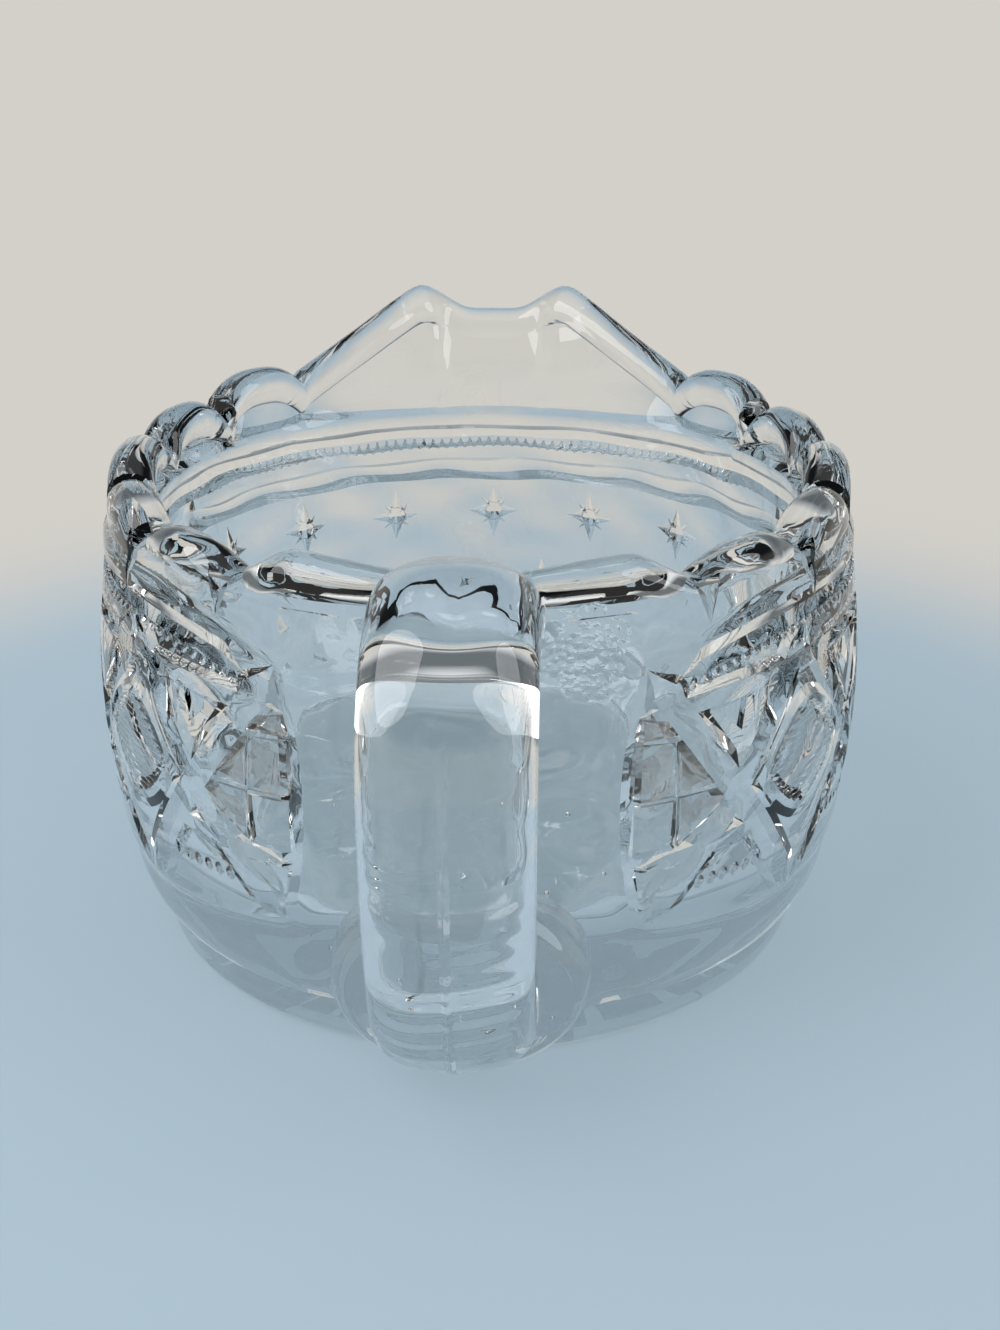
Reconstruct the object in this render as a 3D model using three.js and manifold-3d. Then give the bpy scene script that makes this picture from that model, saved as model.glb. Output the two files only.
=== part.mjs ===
// Pressed glass cream jug: a low round bowl on a plain foot, a scalloped rim that rises into a
// pouring spout, pattern panels round the body and one thick loop handle opposite the spout.
//
// The real jug is a single pressing. It is laid out here as the regions that its mould forms, each
// a closed solid of its own, which touch at level faces or lie a hairline gap apart.
//
// Millimetres, +Z up. The origin is the centre of the foot on the table, the spout points to +Y
// and the handle to -Y. Angles round the jug are in degrees from the spout, towards +X.

import * as THREE from 'three';
import { mergeVertices } from 'three/addons/utils/BufferGeometryUtils.js';
import Module from 'manifold-3d';

// Heights of the main levels
const FOOT_HEIGHT = 5;
const SHOULDER_RISE = 9;
const BODY_HEIGHT = 45.4;

// Outside radius of the body, and how far the foot, the neck and the rim lie inside it
const BODY_RADIUS = 43.6;
const FOOT_INSET = 3.6;
const NECK_INSET = 0.9;
const RIM_INSET = 1.8;
const FOOT_EDGE = 0.5;

// The inside of the bowl
const FLOOR_THICKNESS = 5;
const LOWER_WALL = 8.4;
const RIM_WALL = 5.2;
const FLOOR_ROUNDING = 9;
const MID_WALL_SHARE = 0.6;

// Pattern panels, raised from pockets in the wall of the bowl
const PANEL_RISE = 1.78;
const PANEL_EDGE_RISE = 0.5;
const POCKET_DEPTH = 1.7;
const PANEL_BEVEL = 1.3;
const PANEL_NEAR_ANGLE = 155.5;
const PANEL_NEAR_BOW = 2.6;
const PANEL_FRONT_ANGLE = 71;
const PANEL_BOTTOM_RISE = 8.8;
const PANEL_CORNER_LIFT = 2.8;
const PANEL_TOP_DROP = 0.8;
const PANEL_CORNER_DROP = 5.4;
const PANEL_CORNER_SPAN = 30;
const PANEL_SHOULDER_DROP = 4.1;
const POCKET_MARGIN_ANGLE = 1;
const POCKET_WALL_ANGLE = 0.4;

// Mitre cuts of the panels
const MITRE_WIDTH = 2.8;
const MITRE_DEPTH = 1.2;
const FINE_MITRE_WIDTH = 1.6;
const FINE_MITRE_DEPTH = 0.8;
const MITRE_TAPER_SHARE = 0.25;
const MITRE_END_SHARE = 0.02;
const CUTTER_CLEARANCE = 1;
const CROSSES_PER_SIDE = 3;
const INSET_DROP = 9.1;
const INSET_OVERRUN_ANGLE = 1;
const LOWER_INSET_RISE = 11;
const LOWER_INSET_MARGIN_ANGLE = 5.6;
const STAR_FLOWER_RADIUS = 4;
const STAR_FLOWER_PITCH = 20;
const STAR_FLOWERS = 7;
const STAR_FLOWER_DROP = 15.9;
const STAR_ROW_STEP = 11;
const STAR_ROWS = 2;

// Rim: heights above the body at the spout, at the scallops and at the handle
const LIP_RISE = 13.6;
const HORN_RISE = 17.2;
const BAR_END_RISE = 7.4;
const LIP_LEVEL_ANGLE = 4;
const HORN_ANGLE = 13.7;
const SPOUT_ANGLE = 40;
const SCALLOP_RISES = [8.8, 7, 6.4, 5.2, 4.2];
const SCALLOP_DEPTH = 3.2;
const SCALLOP_FULLNESS = 2.8;
const LAST_NOTCH_ANGLE = 146;
const NEAR_NOTCH_RISE = 1.9;
const HUMP_RISE = 5;
const HUMP_ANGLE = 157;
const HANDLE_RIM_RISE = 3.6;
const RIM_ROUND_SHARE = 0.75;
const SPOUT_FLARE = 5.2;
const SPOUT_FLARE_SPREAD = 24;

// Handle: a thick loop with a flat oval section
const HANDLE_WIDTH = 15.4;
const HANDLE_THICKNESS = 10.4;
const HANDLE_REACH = 21;
const HANDLE_TOP_RISE = 7.6;
const HANDLE_FOOT_HEIGHT = 11;
const HANDLE_SEAM = 0.35;
const HANDLE_SQUARENESS = 0.8;

// Middle of the handle's bar from the rim down to the boss: shares of its reach and of its height
const HANDLE_CURVE = [
  [-0.32, 0.9], [-0.08, 0.965], [0.2, 1], [0.62, 0.96], [0.94, 0.81], [1, 0.58], [0.94, 0.34], [0.7, 0.12],
];

// Boss at the foot of the handle
const PAD_HALF_WIDTH = 13.2;
const PAD_HALF_HEIGHT = 10.6;
const PAD_HEIGHT = 13.4;
const PAD_THICKNESS = 4.6;
const PAD_SHOULDER = 2.6;
const PAD_SIDE_SHARE = 0.33;
const PAD_EDGE_SHARE = 0.75;
const PAD_EDGE_INSET = 0.9;

// Gap between neighbouring solids, and how finely round shapes are stepped
const GAP = 0.3;
const LATHE_STEPS = 72;
const RIM_STEP = 2.8;
const PANEL_STEP = 5;
const PANEL_ROWS = 6;
const MITRE_STEP = 7;
const RIM_ROUND_STEPS = 6;
const SHOULDER_STEPS = 5;
const WALL_STEPS = 6;
const CORNER_STEPS = 5;
const SIDE_STEPS = 4;
const ENVELOPE_STEP = 2;
const HANDLE_STEPS = 30;
const SECTION_STEPS = 22;
const WELD_DISTANCE = 0.002;

const FOOT_RADIUS = BODY_RADIUS - FOOT_INSET;
const NECK_RADIUS = BODY_RADIUS - NECK_INSET;
const RIM_RADIUS = BODY_RADIUS - RIM_INSET;
const BODY_TOP = FOOT_HEIGHT + BODY_HEIGHT;
const FLOOR_TOP = FOOT_HEIGHT + FLOOR_THICKNESS;
const SHOULDER_TOP = FOOT_HEIGHT + SHOULDER_RISE;
const INNER_NECK_RADIUS = NECK_RADIUS - RIM_WALL;
const SCALLOP_SPAN = (LAST_NOTCH_ANGLE - SPOUT_ANGLE) / SCALLOP_RISES.length;

const wasm = await Module();
wasm.setup();

const lerp = THREE.MathUtils.lerp;
const clamp = THREE.MathUtils.clamp;
const smooth = (t) => THREE.MathUtils.smoothstep(t, 0, 1);
const radians = THREE.MathUtils.degToRad;

// Point at an angle round the jug, a radius from its axis and a height above the table
function at(angle, radius, height) {
  const turn = radians(angle);
  return new THREE.Vector3(radius * Math.sin(turn), radius * Math.cos(turn), height);
}

// Closed shape from its corners and triangles, wound so that its faces point out
function closedGeometry(points, triangles) {
  const positions = new Float32Array(points.flatMap((p) => [p.x, p.y, p.z]));
  const loose = new THREE.BufferGeometry();
  loose.setAttribute('position', new THREE.BufferAttribute(positions, 3));
  loose.setIndex(triangles);
  return welded(loose);
}

// Joins corners that coincide and drops the triangles that this leaves without area
function welded(loose) {
  const merged = mergeVertices(loose, WELD_DISTANCE);
  const index = Array.from(merged.index.array);
  const kept = [];
  for (let i = 0; i < index.length; i += 3) {
    const [a, b, c] = [index[i], index[i + 1], index[i + 2]];
    if (a !== b && b !== c && c !== a) kept.push(a, b, c);
  }
  merged.setIndex(signedVolume(merged, kept) < 0 ? kept.reverse() : kept);
  return merged;
}

function signedVolume(geometry, index) {
  const corner = new THREE.BufferAttribute(geometry.attributes.position.array, 3);
  const [a, b, c] = [new THREE.Vector3(), new THREE.Vector3(), new THREE.Vector3()];
  let volume = 0;
  for (let i = 0; i < index.length; i += 3) {
    a.fromBufferAttribute(corner, index[i]);
    b.fromBufferAttribute(corner, index[i + 1]);
    c.fromBufferAttribute(corner, index[i + 2]);
    volume += a.dot(b.cross(c)) / 6;
  }
  return volume;
}

function toSolid(geometry) {
  return new wasm.Manifold(new wasm.Mesh({
    numProp: 3,
    vertProperties: new Float32Array(geometry.attributes.position.array),
    triVerts: new Uint32Array(geometry.index.array),
  }));
}

function toGeometry(solid) {
  const mesh = solid.getMesh();
  const geometry = new THREE.BufferGeometry();
  geometry.setAttribute('position', new THREE.BufferAttribute(mesh.vertProperties, 3));
  geometry.setIndex(new THREE.BufferAttribute(mesh.triVerts, 1));
  return welded(geometry);
}

// Skin over a row of closed loops that all have the same number of points. The row closes on
// itself, or its first and last loops are capped.
function skin(loops, closesOnItself) {
  const count = loops[0].length;
  const points = loops.flat();
  const triangles = [];
  const rows = closesOnItself ? loops.length : loops.length - 1;
  for (let row = 0; row < rows; row += 1) {
    const here = row * count;
    const next = ((row + 1) % loops.length) * count;
    for (let k = 0; k < count; k += 1) {
      const k2 = (k + 1) % count;
      triangles.push(here + k, here + k2, next + k2, here + k, next + k2, next + k);
    }
  }
  if (!closesOnItself) {
    triangles.push(...cap(loops[0], 0, true));
    triangles.push(...cap(loops[loops.length - 1], (loops.length - 1) * count, false));
  }
  return closedGeometry(points, triangles);
}

// Flat cover over one loop, laid in rungs between its two sides
function cap(loop, offset, reversed) {
  const last = loop.length - 1;
  const triangles = [];
  for (let k = 0; k < last - k; k += 1) {
    const rung = [[k, k + 1, last - k - 1], [k, last - k - 1, last - k]];
    rung.filter(([a, b, c]) => a !== b && b !== c && a !== c).forEach(([a, b, c]) => {
      const face = reversed ? [c, b, a] : [a, b, c];
      triangles.push(...face.map((corner) => corner + offset));
    });
  }
  return triangles;
}

// Even steps from one number to another
function stepsFrom(start, end, step) {
  const count = Math.max(2, Math.round(Math.abs(end - start) / step));
  return Array.from({ length: count + 1 }, (_, i) => lerp(start, end, i / count));
}

// Even steps that stop at each of a row of marks
function stepsThrough(marks, step) {
  const spans = marks.slice(1).map((mark, i) => stepsFrom(marks[i], mark, step).slice(1));
  return [marks[0], ...spans.flat()];
}

// Solid turned from a profile of radii and heights that starts and ends on the axis
function turned(profile) {
  const angles = stepsFrom(0, 360, 360 / LATHE_STEPS).slice(0, -1);
  return skin(angles.map((angle) => profile.map((p) => at(angle, p.x, p.y))), true);
}

// Outside of the plain wall: a quarter round shoulder over the foot, then a barrel up to the neck
function wallRadius(height) {
  if (height <= FOOT_HEIGHT) return FOOT_RADIUS;
  if (height < SHOULDER_TOP) {
    const t = (height - FOOT_HEIGHT) / SHOULDER_RISE;
    return lerp(FOOT_RADIUS, BODY_RADIUS, Math.sin(t * Math.PI / 2));
  }
  const t = clamp((height - SHOULDER_TOP) / (BODY_TOP - SHOULDER_TOP), 0, 1);
  return lerp(BODY_RADIUS, NECK_RADIUS, t * t * t);
}

// Lower and upper edges of the panels: level, but drawn together near the handle
function panelBottom(angle) {
  const t = clamp((Math.abs(angle) - PANEL_NEAR_ANGLE + PANEL_CORNER_SPAN) / PANEL_CORNER_SPAN, 0, 1);
  return FOOT_HEIGHT + PANEL_BOTTOM_RISE + PANEL_CORNER_LIFT * t * t;
}

function panelTop(angle) {
  const t = clamp((Math.abs(angle) - PANEL_NEAR_ANGLE + PANEL_CORNER_SPAN) / PANEL_CORNER_SPAN, 0, 1);
  return BODY_TOP - PANEL_TOP_DROP - PANEL_CORNER_DROP * t * t;
}

// Outside of the panels: fullest at half height, with a straight band above their shoulder
function panelRadius(angle, height) {
  const bottom = panelBottom(angle);
  const t = clamp((height - bottom) / (panelTop(angle) - PANEL_SHOULDER_DROP - bottom), 0, 1);
  return wallRadius(height) + lerp(PANEL_EDGE_RISE, PANEL_RISE, Math.sin(t * Math.PI));
}

const POCKET_END_ANGLE = PANEL_NEAR_ANGLE + PANEL_NEAR_BOW + POCKET_MARGIN_ANGLE;

// Foot: a plain disc with eased edges and a slight waist
function footGeometry() {
  return turned([
    new THREE.Vector2(0, 0),
    new THREE.Vector2(FOOT_RADIUS - FOOT_EDGE, 0),
    new THREE.Vector2(FOOT_RADIUS, FOOT_EDGE),
    new THREE.Vector2(FOOT_RADIUS - FOOT_EDGE, FOOT_HEIGHT / 2),
    new THREE.Vector2(FOOT_RADIUS, FOOT_HEIGHT),
    new THREE.Vector2(0, FOOT_HEIGHT),
  ]);
}

// Bowl: floor and wall, with a rounded inner corner and a pocket round the wall for the panels
function bowlGeometry() {
  const plainFrom = POCKET_END_ANGLE + POCKET_WALL_ANGLE;
  const angles = [
    ...stepsFrom(-POCKET_END_ANGLE, POCKET_END_ANGLE, 360 / LATHE_STEPS),
    ...stepsFrom(plainFrom, 360 - plainFrom, 360 / LATHE_STEPS),
  ];
  const loops = angles.map((angle) => {
    const inPocket = angle <= POCKET_END_ANGLE;
    return bowlSection(angle, inPocket ? POCKET_DEPTH : 0).map((p) => at(angle, p.x, p.y));
  });
  return skin(loops, true);
}

// Section of the bowl. Where it has no pocket, the pocket's corners spread a little up the wall.
function bowlSection(angle, pocketDepth) {
  const section = [new THREE.Vector2(0, FOOT_HEIGHT)];
  const pocketBottom = panelBottom(angle) - GAP;
  const pocketTop = panelTop(angle) + GAP;
  const spread = pocketDepth > 0 ? 0 : GAP / 10;
  for (let i = 0; i <= SHOULDER_STEPS; i += 1) {
    const height = lerp(FOOT_HEIGHT, pocketBottom, i / SHOULDER_STEPS);
    section.push(new THREE.Vector2(wallRadius(height), height));
  }
  for (let i = 0; i <= WALL_STEPS; i += 1) {
    const height = lerp(pocketBottom + spread, pocketTop, i / WALL_STEPS);
    section.push(new THREE.Vector2(wallRadius(height) - pocketDepth, height));
  }
  section.push(new THREE.Vector2(wallRadius(pocketTop), pocketTop + spread));
  section.push(new THREE.Vector2(NECK_RADIUS, BODY_TOP));
  section.push(...insideProfile());
  return section;
}

// Inside of the bowl from the parting at the neck down to the middle of the floor
function insideProfile() {
  const lowRadius = BODY_RADIUS - LOWER_WALL;
  const cornerTop = FLOOR_TOP + FLOOR_ROUNDING;
  const points = [
    new THREE.Vector2(INNER_NECK_RADIUS, BODY_TOP),
    new THREE.Vector2(lerp(lowRadius, INNER_NECK_RADIUS, MID_WALL_SHARE), (cornerTop + BODY_TOP) / 2),
  ];
  for (let i = 0; i <= CORNER_STEPS; i += 1) {
    const turn = (i / CORNER_STEPS) * Math.PI / 2;
    points.push(new THREE.Vector2(
      lowRadius - FLOOR_ROUNDING * (1 - Math.cos(turn)),
      cornerTop - FLOOR_ROUNDING * Math.sin(turn),
    ));
  }
  points.push(new THREE.Vector2(0, FLOOR_TOP));
  return points;
}

// Turn away from the spout, either way round
function fromSpout(angle) {
  return Math.abs(angle > 180 ? angle - 360 : angle);
}

// Height of the rim above the body at an angle from the spout
function rimRise(angle) {
  const turn = fromSpout(angle);
  if (turn <= HORN_ANGLE) {
    return lerp(LIP_RISE, HORN_RISE, smooth((turn - LIP_LEVEL_ANGLE) / (HORN_ANGLE - LIP_LEVEL_ANGLE)));
  }
  if (turn <= SPOUT_ANGLE) {
    return lerp(HORN_RISE, BAR_END_RISE, (turn - HORN_ANGLE) / (SPOUT_ANGLE - HORN_ANGLE));
  }
  if (turn < LAST_NOTCH_ANGLE) return scallopRise(turn);
  if (turn < HUMP_ANGLE) {
    const t = (turn - LAST_NOTCH_ANGLE) / (HUMP_ANGLE - LAST_NOTCH_ANGLE);
    return lerp(NEAR_NOTCH_RISE, HUMP_RISE, smooth(t));
  }
  return lerp(HUMP_RISE, HANDLE_RIM_RISE, smooth((turn - HUMP_ANGLE) / (180 - HUMP_ANGLE)));
}

// Scallops: equal lobes, each a low arch between two sharp notches
function scallopRise(turn) {
  const place = (turn - SPOUT_ANGLE) / SCALLOP_SPAN;
  const last = SCALLOP_RISES.length - 1;
  const lobe = Math.min(Math.floor(place), last);
  const offset = 2 * (place - lobe) - 1;
  const edge = lobe === last && offset > 0 ? SCALLOP_RISES[lobe] - NEAR_NOTCH_RISE : SCALLOP_DEPTH;
  return SCALLOP_RISES[lobe] - edge * Math.abs(offset) ** SCALLOP_FULLNESS;
}

// How far the wall leans out over the spout, at a height above the body
function spoutLean(angle, rise) {
  const spread = Math.exp(-((fromSpout(angle) / SPOUT_FLARE_SPREAD) ** 4));
  const t = clamp(rise / HORN_RISE, 0, 1);
  return SPOUT_FLARE * spread * t * t;
}

// Section of the rim wall: straight sides that end in a round edge, which is flatter where the
// rim is low
function rimSection(angle) {
  const rise = rimRise(angle);
  const half = RIM_WALL / 2;
  const round = Math.min(half, rise * RIM_ROUND_SHARE);
  const straight = rise - round;
  const section = [];
  const side = (t, inner) => {
    const height = straight * t;
    const outside = lerp(NECK_RADIUS, RIM_RADIUS, height / HORN_RISE);
    const radius = outside - (inner ? RIM_WALL : 0) + spoutLean(angle, height);
    return at(angle, radius, BODY_TOP + height);
  };
  for (let i = 0; i <= SIDE_STEPS; i += 1) section.push(side(i / SIDE_STEPS, false));
  for (let i = 1; i < RIM_ROUND_STEPS; i += 1) {
    const turn = (i / RIM_ROUND_STEPS) * Math.PI;
    const outside = lerp(NECK_RADIUS, RIM_RADIUS, straight / HORN_RISE);
    const height = straight + round * Math.sin(turn);
    const radius = outside - half + half * Math.cos(turn) + spoutLean(angle, height);
    section.push(at(angle, radius, BODY_TOP + height));
  }
  for (let i = SIDE_STEPS; i >= 0; i -= 1) section.push(side(i / SIDE_STEPS, true));
  return section;
}

function halfGapAngle() {
  return THREE.MathUtils.radToDeg(GAP / 2 / INNER_NECK_RADIUS);
}

// Rim from one side of the spout round the handle to the other, with a section at every notch
function collarGeometry() {
  const start = SPOUT_ANGLE + halfGapAngle();
  const notches = SCALLOP_RISES.map((_, i) => SPOUT_ANGLE + (i + 1) * SCALLOP_SPAN);
  const side = [start, ...notches, HUMP_ANGLE];
  const marks = [...side, ...side.map((angle) => 360 - angle).reverse()];
  return skin(stepsThrough(marks, RIM_STEP).map(rimSection), false);
}

// Rim over the spout, with a section at each horn
function spoutGeometry() {
  const end = SPOUT_ANGLE - halfGapAngle();
  return skin(stepsThrough([-end, -HORN_ANGLE, HORN_ANGLE, end], RIM_STEP).map(rimSection), false);
}

// Plate of a panel between two angles: bevelled all round and seated in the pocket of the bowl.
// The edge towards the handle may bow outwards.
function plateGeometry(from, to, bowFrom, bowTo) {
  const columns = stepsFrom(0, 1, PANEL_STEP / Math.abs(to - from));
  const rows = stepsFrom(0, 1, 1 / PANEL_ROWS);
  const place = (u, v) => {
    const bow = 4 * v * (1 - v);
    const angle = lerp(from + bowFrom * bow, to + bowTo * bow, u);
    return { angle, height: lerp(panelBottom(angle), panelTop(angle), v) };
  };
  const outer = (u, v) => {
    const inset = insetFromEdge(place, u, v);
    return at(inset.angle, panelRadius(inset.angle, inset.height), inset.height);
  };
  const edge = (u, v) => {
    const { angle, height } = place(u, v);
    return at(angle, wallRadius(height) - GAP, height);
  };
  const back = (u, v) => {
    const { angle, height } = place(u, v);
    return at(angle, wallRadius(height) - POCKET_DEPTH + GAP, height);
  };
  const loops = columns.map((u) => [
    ...rows.map((v) => back(u, v)),
    edge(u, 1),
    ...rows.slice().reverse().map((v) => outer(u, v)),
    edge(u, 0),
  ]);
  const ends = [columns[0], columns[columns.length - 1]].map((u) => [
    ...rows.map((v) => back(u, v)),
    edge(u, 1),
    ...rows.slice().reverse().map((v) => edge(u, v)),
    edge(u, 0),
  ]);
  return skin([ends[0], ...loops, ends[1]], false);
}

// Moves a point of the face in from the rim of the plate by the width of the bevel
function insetFromEdge(place, u, v) {
  const { angle, height } = place(u, v);
  const middle = place(0.5, v).angle;
  const bevelAngle = THREE.MathUtils.radToDeg(PANEL_BEVEL / BODY_RADIUS);
  const outermost = Math.abs(2 * u - 1);
  const bottom = panelBottom(angle);
  const top = panelTop(angle);
  const t = clamp((height - bottom) / (top - bottom), 0, 1);
  const span = Math.abs(angle - middle);
  const limit = Math.max(0, Math.abs(place(u < 0.5 ? 0 : 1, v).angle - middle) - bevelAngle);
  const kept = outermost > 0 ? Math.min(span, limit) : span;
  return {
    angle: middle + Math.sign(angle - middle) * kept,
    height: lerp(bottom + PANEL_BEVEL, top - PANEL_BEVEL, t),
  };
}

// V cut along a line on the face of a panel, given as its two ends (angle, height). It runs out
// to a point at both ends.
function mitre(start, end, width, depth) {
  const length = Math.hypot(radians(end[0] - start[0]) * BODY_RADIUS, end[1] - start[1]);
  const steps = Math.max(2, Math.round(length / MITRE_STEP));
  const clear = PANEL_RISE + CUTTER_CLEARANCE;
  const loops = [];
  const sideways = new THREE.Vector2(end[1] - start[1], -radians(end[0] - start[0]) * BODY_RADIUS)
    .normalize();
  for (let i = 0; i <= steps; i += 1) {
    const t = i / steps;
    const angle = lerp(start[0], end[0], t);
    const height = lerp(start[1], end[1], t);
    const deep = depth * Math.min(1, Math.min(t, 1 - t) / MITRE_TAPER_SHARE + MITRE_END_SHARE);
    const radius = panelRadius(angle, height);
    const corner = (side, out) => {
      const half = (width / 2) * (deep + out) / depth;
      const turn = THREE.MathUtils.radToDeg(side * half * sideways.x / BODY_RADIUS);
      return at(angle + turn, radius + out, height + side * half * sideways.y);
    };
    loops.push([at(angle, radius - deep, height), corner(1, clear), corner(-1, clear)]);
  }
  return skin(loops, false);
}

// Cuts of a side panel: crossing diagonals, a level line above them and short ones below
function sideMitres(side) {
  const cuts = [];
  const cross = (PANEL_NEAR_ANGLE - PANEL_FRONT_ANGLE) / CROSSES_PER_SIDE;
  const insetHeight = BODY_TOP - INSET_DROP;
  const lowerInset = FOOT_HEIGHT + PANEL_BOTTOM_RISE + LOWER_INSET_RISE;
  for (let i = 0; i < CROSSES_PER_SIDE; i += 1) {
    const near = PANEL_NEAR_ANGLE - i * cross;
    const far = near - cross;
    cuts.push(mitre([side * near, panelTop(near)], [side * far, panelBottom(far)],
      MITRE_WIDTH, MITRE_DEPTH));
    cuts.push(mitre([side * near, panelBottom(near)], [side * far, panelTop(far)],
      MITRE_WIDTH, MITRE_DEPTH));
    cuts.push(mitre([side * (near - LOWER_INSET_MARGIN_ANGLE), lowerInset],
      [side * (far + LOWER_INSET_MARGIN_ANGLE), lowerInset], FINE_MITRE_WIDTH, FINE_MITRE_DEPTH));
  }
  cuts.push(mitre([side * (PANEL_NEAR_ANGLE + INSET_OVERRUN_ANGLE), insetHeight],
    [side * (PANEL_FRONT_ANGLE - INSET_OVERRUN_ANGLE), insetHeight], FINE_MITRE_WIDTH, FINE_MITRE_DEPTH));
  return cuts;
}

// Cuts of the panel under the spout: a level line and rows of six pointed stars
function frontMitres() {
  const insetHeight = BODY_TOP - INSET_DROP;
  const end = PANEL_FRONT_ANGLE + INSET_OVERRUN_ANGLE;
  const cuts = [mitre([-end, insetHeight], [end, insetHeight], FINE_MITRE_WIDTH, FINE_MITRE_DEPTH)];
  for (let row = 0; row < STAR_ROWS; row += 1) {
    const count = STAR_FLOWERS - row;
    for (let i = 0; i < count; i += 1) {
      const angle = (i - (count - 1) / 2) * STAR_FLOWER_PITCH;
      cuts.push(...starMitres(angle, BODY_TOP - STAR_FLOWER_DROP - row * STAR_ROW_STEP));
    }
  }
  return cuts;
}

function starMitres(angle, height) {
  return [0, 60, 120].map((turn) => {
    const across = THREE.MathUtils.radToDeg(STAR_FLOWER_RADIUS * Math.sin(radians(turn)) / BODY_RADIUS);
    const up = STAR_FLOWER_RADIUS * Math.cos(radians(turn));
    return mitre([angle - across, height - up], [angle + across, height + up],
      FINE_MITRE_WIDTH, FINE_MITRE_DEPTH);
  });
}

function carved(geometry, cuts) {
  return toGeometry(cuts.reduce((solid, cut) => solid.subtract(toSolid(cut)), toSolid(geometry)));
}

function sidePanelGeometry(side) {
  const front = PANEL_FRONT_ANGLE + halfGapAngle();
  const plate = plateGeometry(side * front, side * PANEL_NEAR_ANGLE, 0, side * PANEL_NEAR_BOW);
  return carved(plate, sideMitres(side));
}

function frontPanelGeometry() {
  const end = PANEL_FRONT_ANGLE - halfGapAngle();
  return carved(plateGeometry(-end, end, 0, 0), frontMitres());
}

// Everything that the bowl and rim fill, with the gap added, to cut the handle and its boss by
function bodyEnvelope() {
  const heights = stepsFrom(-FOOT_HEIGHT, BODY_TOP, ENVELOPE_STEP);
  const profile = heights.map((height) => new THREE.Vector2(wallRadius(height) + GAP, height));
  const above = BODY_TOP + HORN_RISE;
  profile.push(new THREE.Vector2(NECK_RADIUS + GAP, above));
  profile.push(new THREE.Vector2(0, above));
  profile.unshift(new THREE.Vector2(0, -FOOT_HEIGHT));
  return toSolid(turned(profile));
}

// Centre line of the handle, in the plane of the spout and the handle
function handlePath() {
  const wall = -BODY_RADIUS;
  const outer = wall - HANDLE_REACH + HANDLE_THICKNESS / 2;
  const top = BODY_TOP + HANDLE_TOP_RISE - HANDLE_THICKNESS / 2;
  const low = HANDLE_FOOT_HEIGHT;
  const route = HANDLE_CURVE.map(([out, up]) => [lerp(wall, outer, out), lerp(low, top, up)]);
  route.push([wall - PAD_THICKNESS / 2, low]);
  return new THREE.CatmullRomCurve3(route.map(([y, z]) => new THREE.Vector3(0, y, z)), false,
    'centripetal');
}

// Flat oval section of the handle, with the raised line that the mould leaves on its outer side
function handleSection() {
  return Array.from({ length: SECTION_STEPS }, (_, i) => {
    const turn = (i / SECTION_STEPS) * 2 * Math.PI;
    const squarer = (value) => Math.sign(value) * Math.abs(value) ** HANDLE_SQUARENESS;
    const seam = i === 0 ? HANDLE_SEAM : 0;
    return new THREE.Vector2(
      (HANDLE_WIDTH / 2) * squarer(Math.sin(turn)),
      (HANDLE_THICKNESS / 2) * squarer(Math.cos(turn)) + seam,
    );
  });
}

function handleGeometry(envelope) {
  const path = handlePath();
  const section = handleSection();
  const loops = Array.from({ length: HANDLE_STEPS + 1 }, (_, i) => {
    const t = i / HANDLE_STEPS;
    const point = path.getPointAt(t);
    const forward = i === HANDLE_STEPS ? new THREE.Vector3(0, 1, 0) : path.getTangentAt(t);
    const outward = new THREE.Vector3(0, forward.z, -forward.y);
    return section.map((p) => new THREE.Vector3(p.x, 0, 0).add(point)
      .addScaledVector(outward, p.y));
  });
  const clearance = padSolid(GAP);
  return toGeometry(toSolid(skin(loops, false)).subtract(envelope).subtract(clearance));
}

// Boss: an oval cushion between the wall and the foot of the handle, grown on all sides by a margin
function padSolid(margin) {
  const wall = -BODY_RADIUS;
  const face = wall - PAD_THICKNESS - margin;
  const rings = [
    [wall + LOWER_WALL / 2, 1],
    [wall - PAD_THICKNESS * PAD_SIDE_SHARE, 1],
    [wall - PAD_THICKNESS * PAD_EDGE_SHARE - margin, 1 - PAD_EDGE_INSET / PAD_HALF_WIDTH],
    [face, 1 - PAD_SHOULDER / PAD_HALF_WIDTH],
  ];
  const loops = rings.map(([y, scale]) => Array.from({ length: SECTION_STEPS }, (_, i) => {
    const turn = (i / SECTION_STEPS) * 2 * Math.PI;
    return new THREE.Vector3(
      (PAD_HALF_WIDTH * scale + margin) * Math.sin(turn),
      y,
      PAD_HEIGHT + (PAD_HALF_HEIGHT * scale + margin) * Math.cos(turn),
    );
  }));
  return toSolid(skin(loops, false));
}

function padGeometry(envelope) {
  return toGeometry(padSolid(0).subtract(envelope));
}

const GLASS = { color: 0xe9efec, roughness: 0.05, metalness: 0, transparent: true, opacity: 0.45 };

function glassPart(name, geometry) {
  const mesh = new THREE.Mesh(geometry, new THREE.MeshStandardMaterial(GLASS));
  mesh.name = name;
  return mesh;
}

const envelope = bodyEnvelope();

const jug = new THREE.Group();
jug.add(glassPart('foot', footGeometry()));
jug.add(glassPart('bowl', bowlGeometry()));
jug.add(glassPart('front_panel', frontPanelGeometry()));
jug.add(glassPart('right_panel', sidePanelGeometry(1)));
jug.add(glassPart('left_panel', sidePanelGeometry(-1)));
jug.add(glassPart('rim_collar', collarGeometry()));
jug.add(glassPart('spout', spoutGeometry()));
jug.add(glassPart('handle', handleGeometry(envelope)));
jug.add(glassPart('handle_pad', padGeometry(envelope)));

export default jug;
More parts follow.
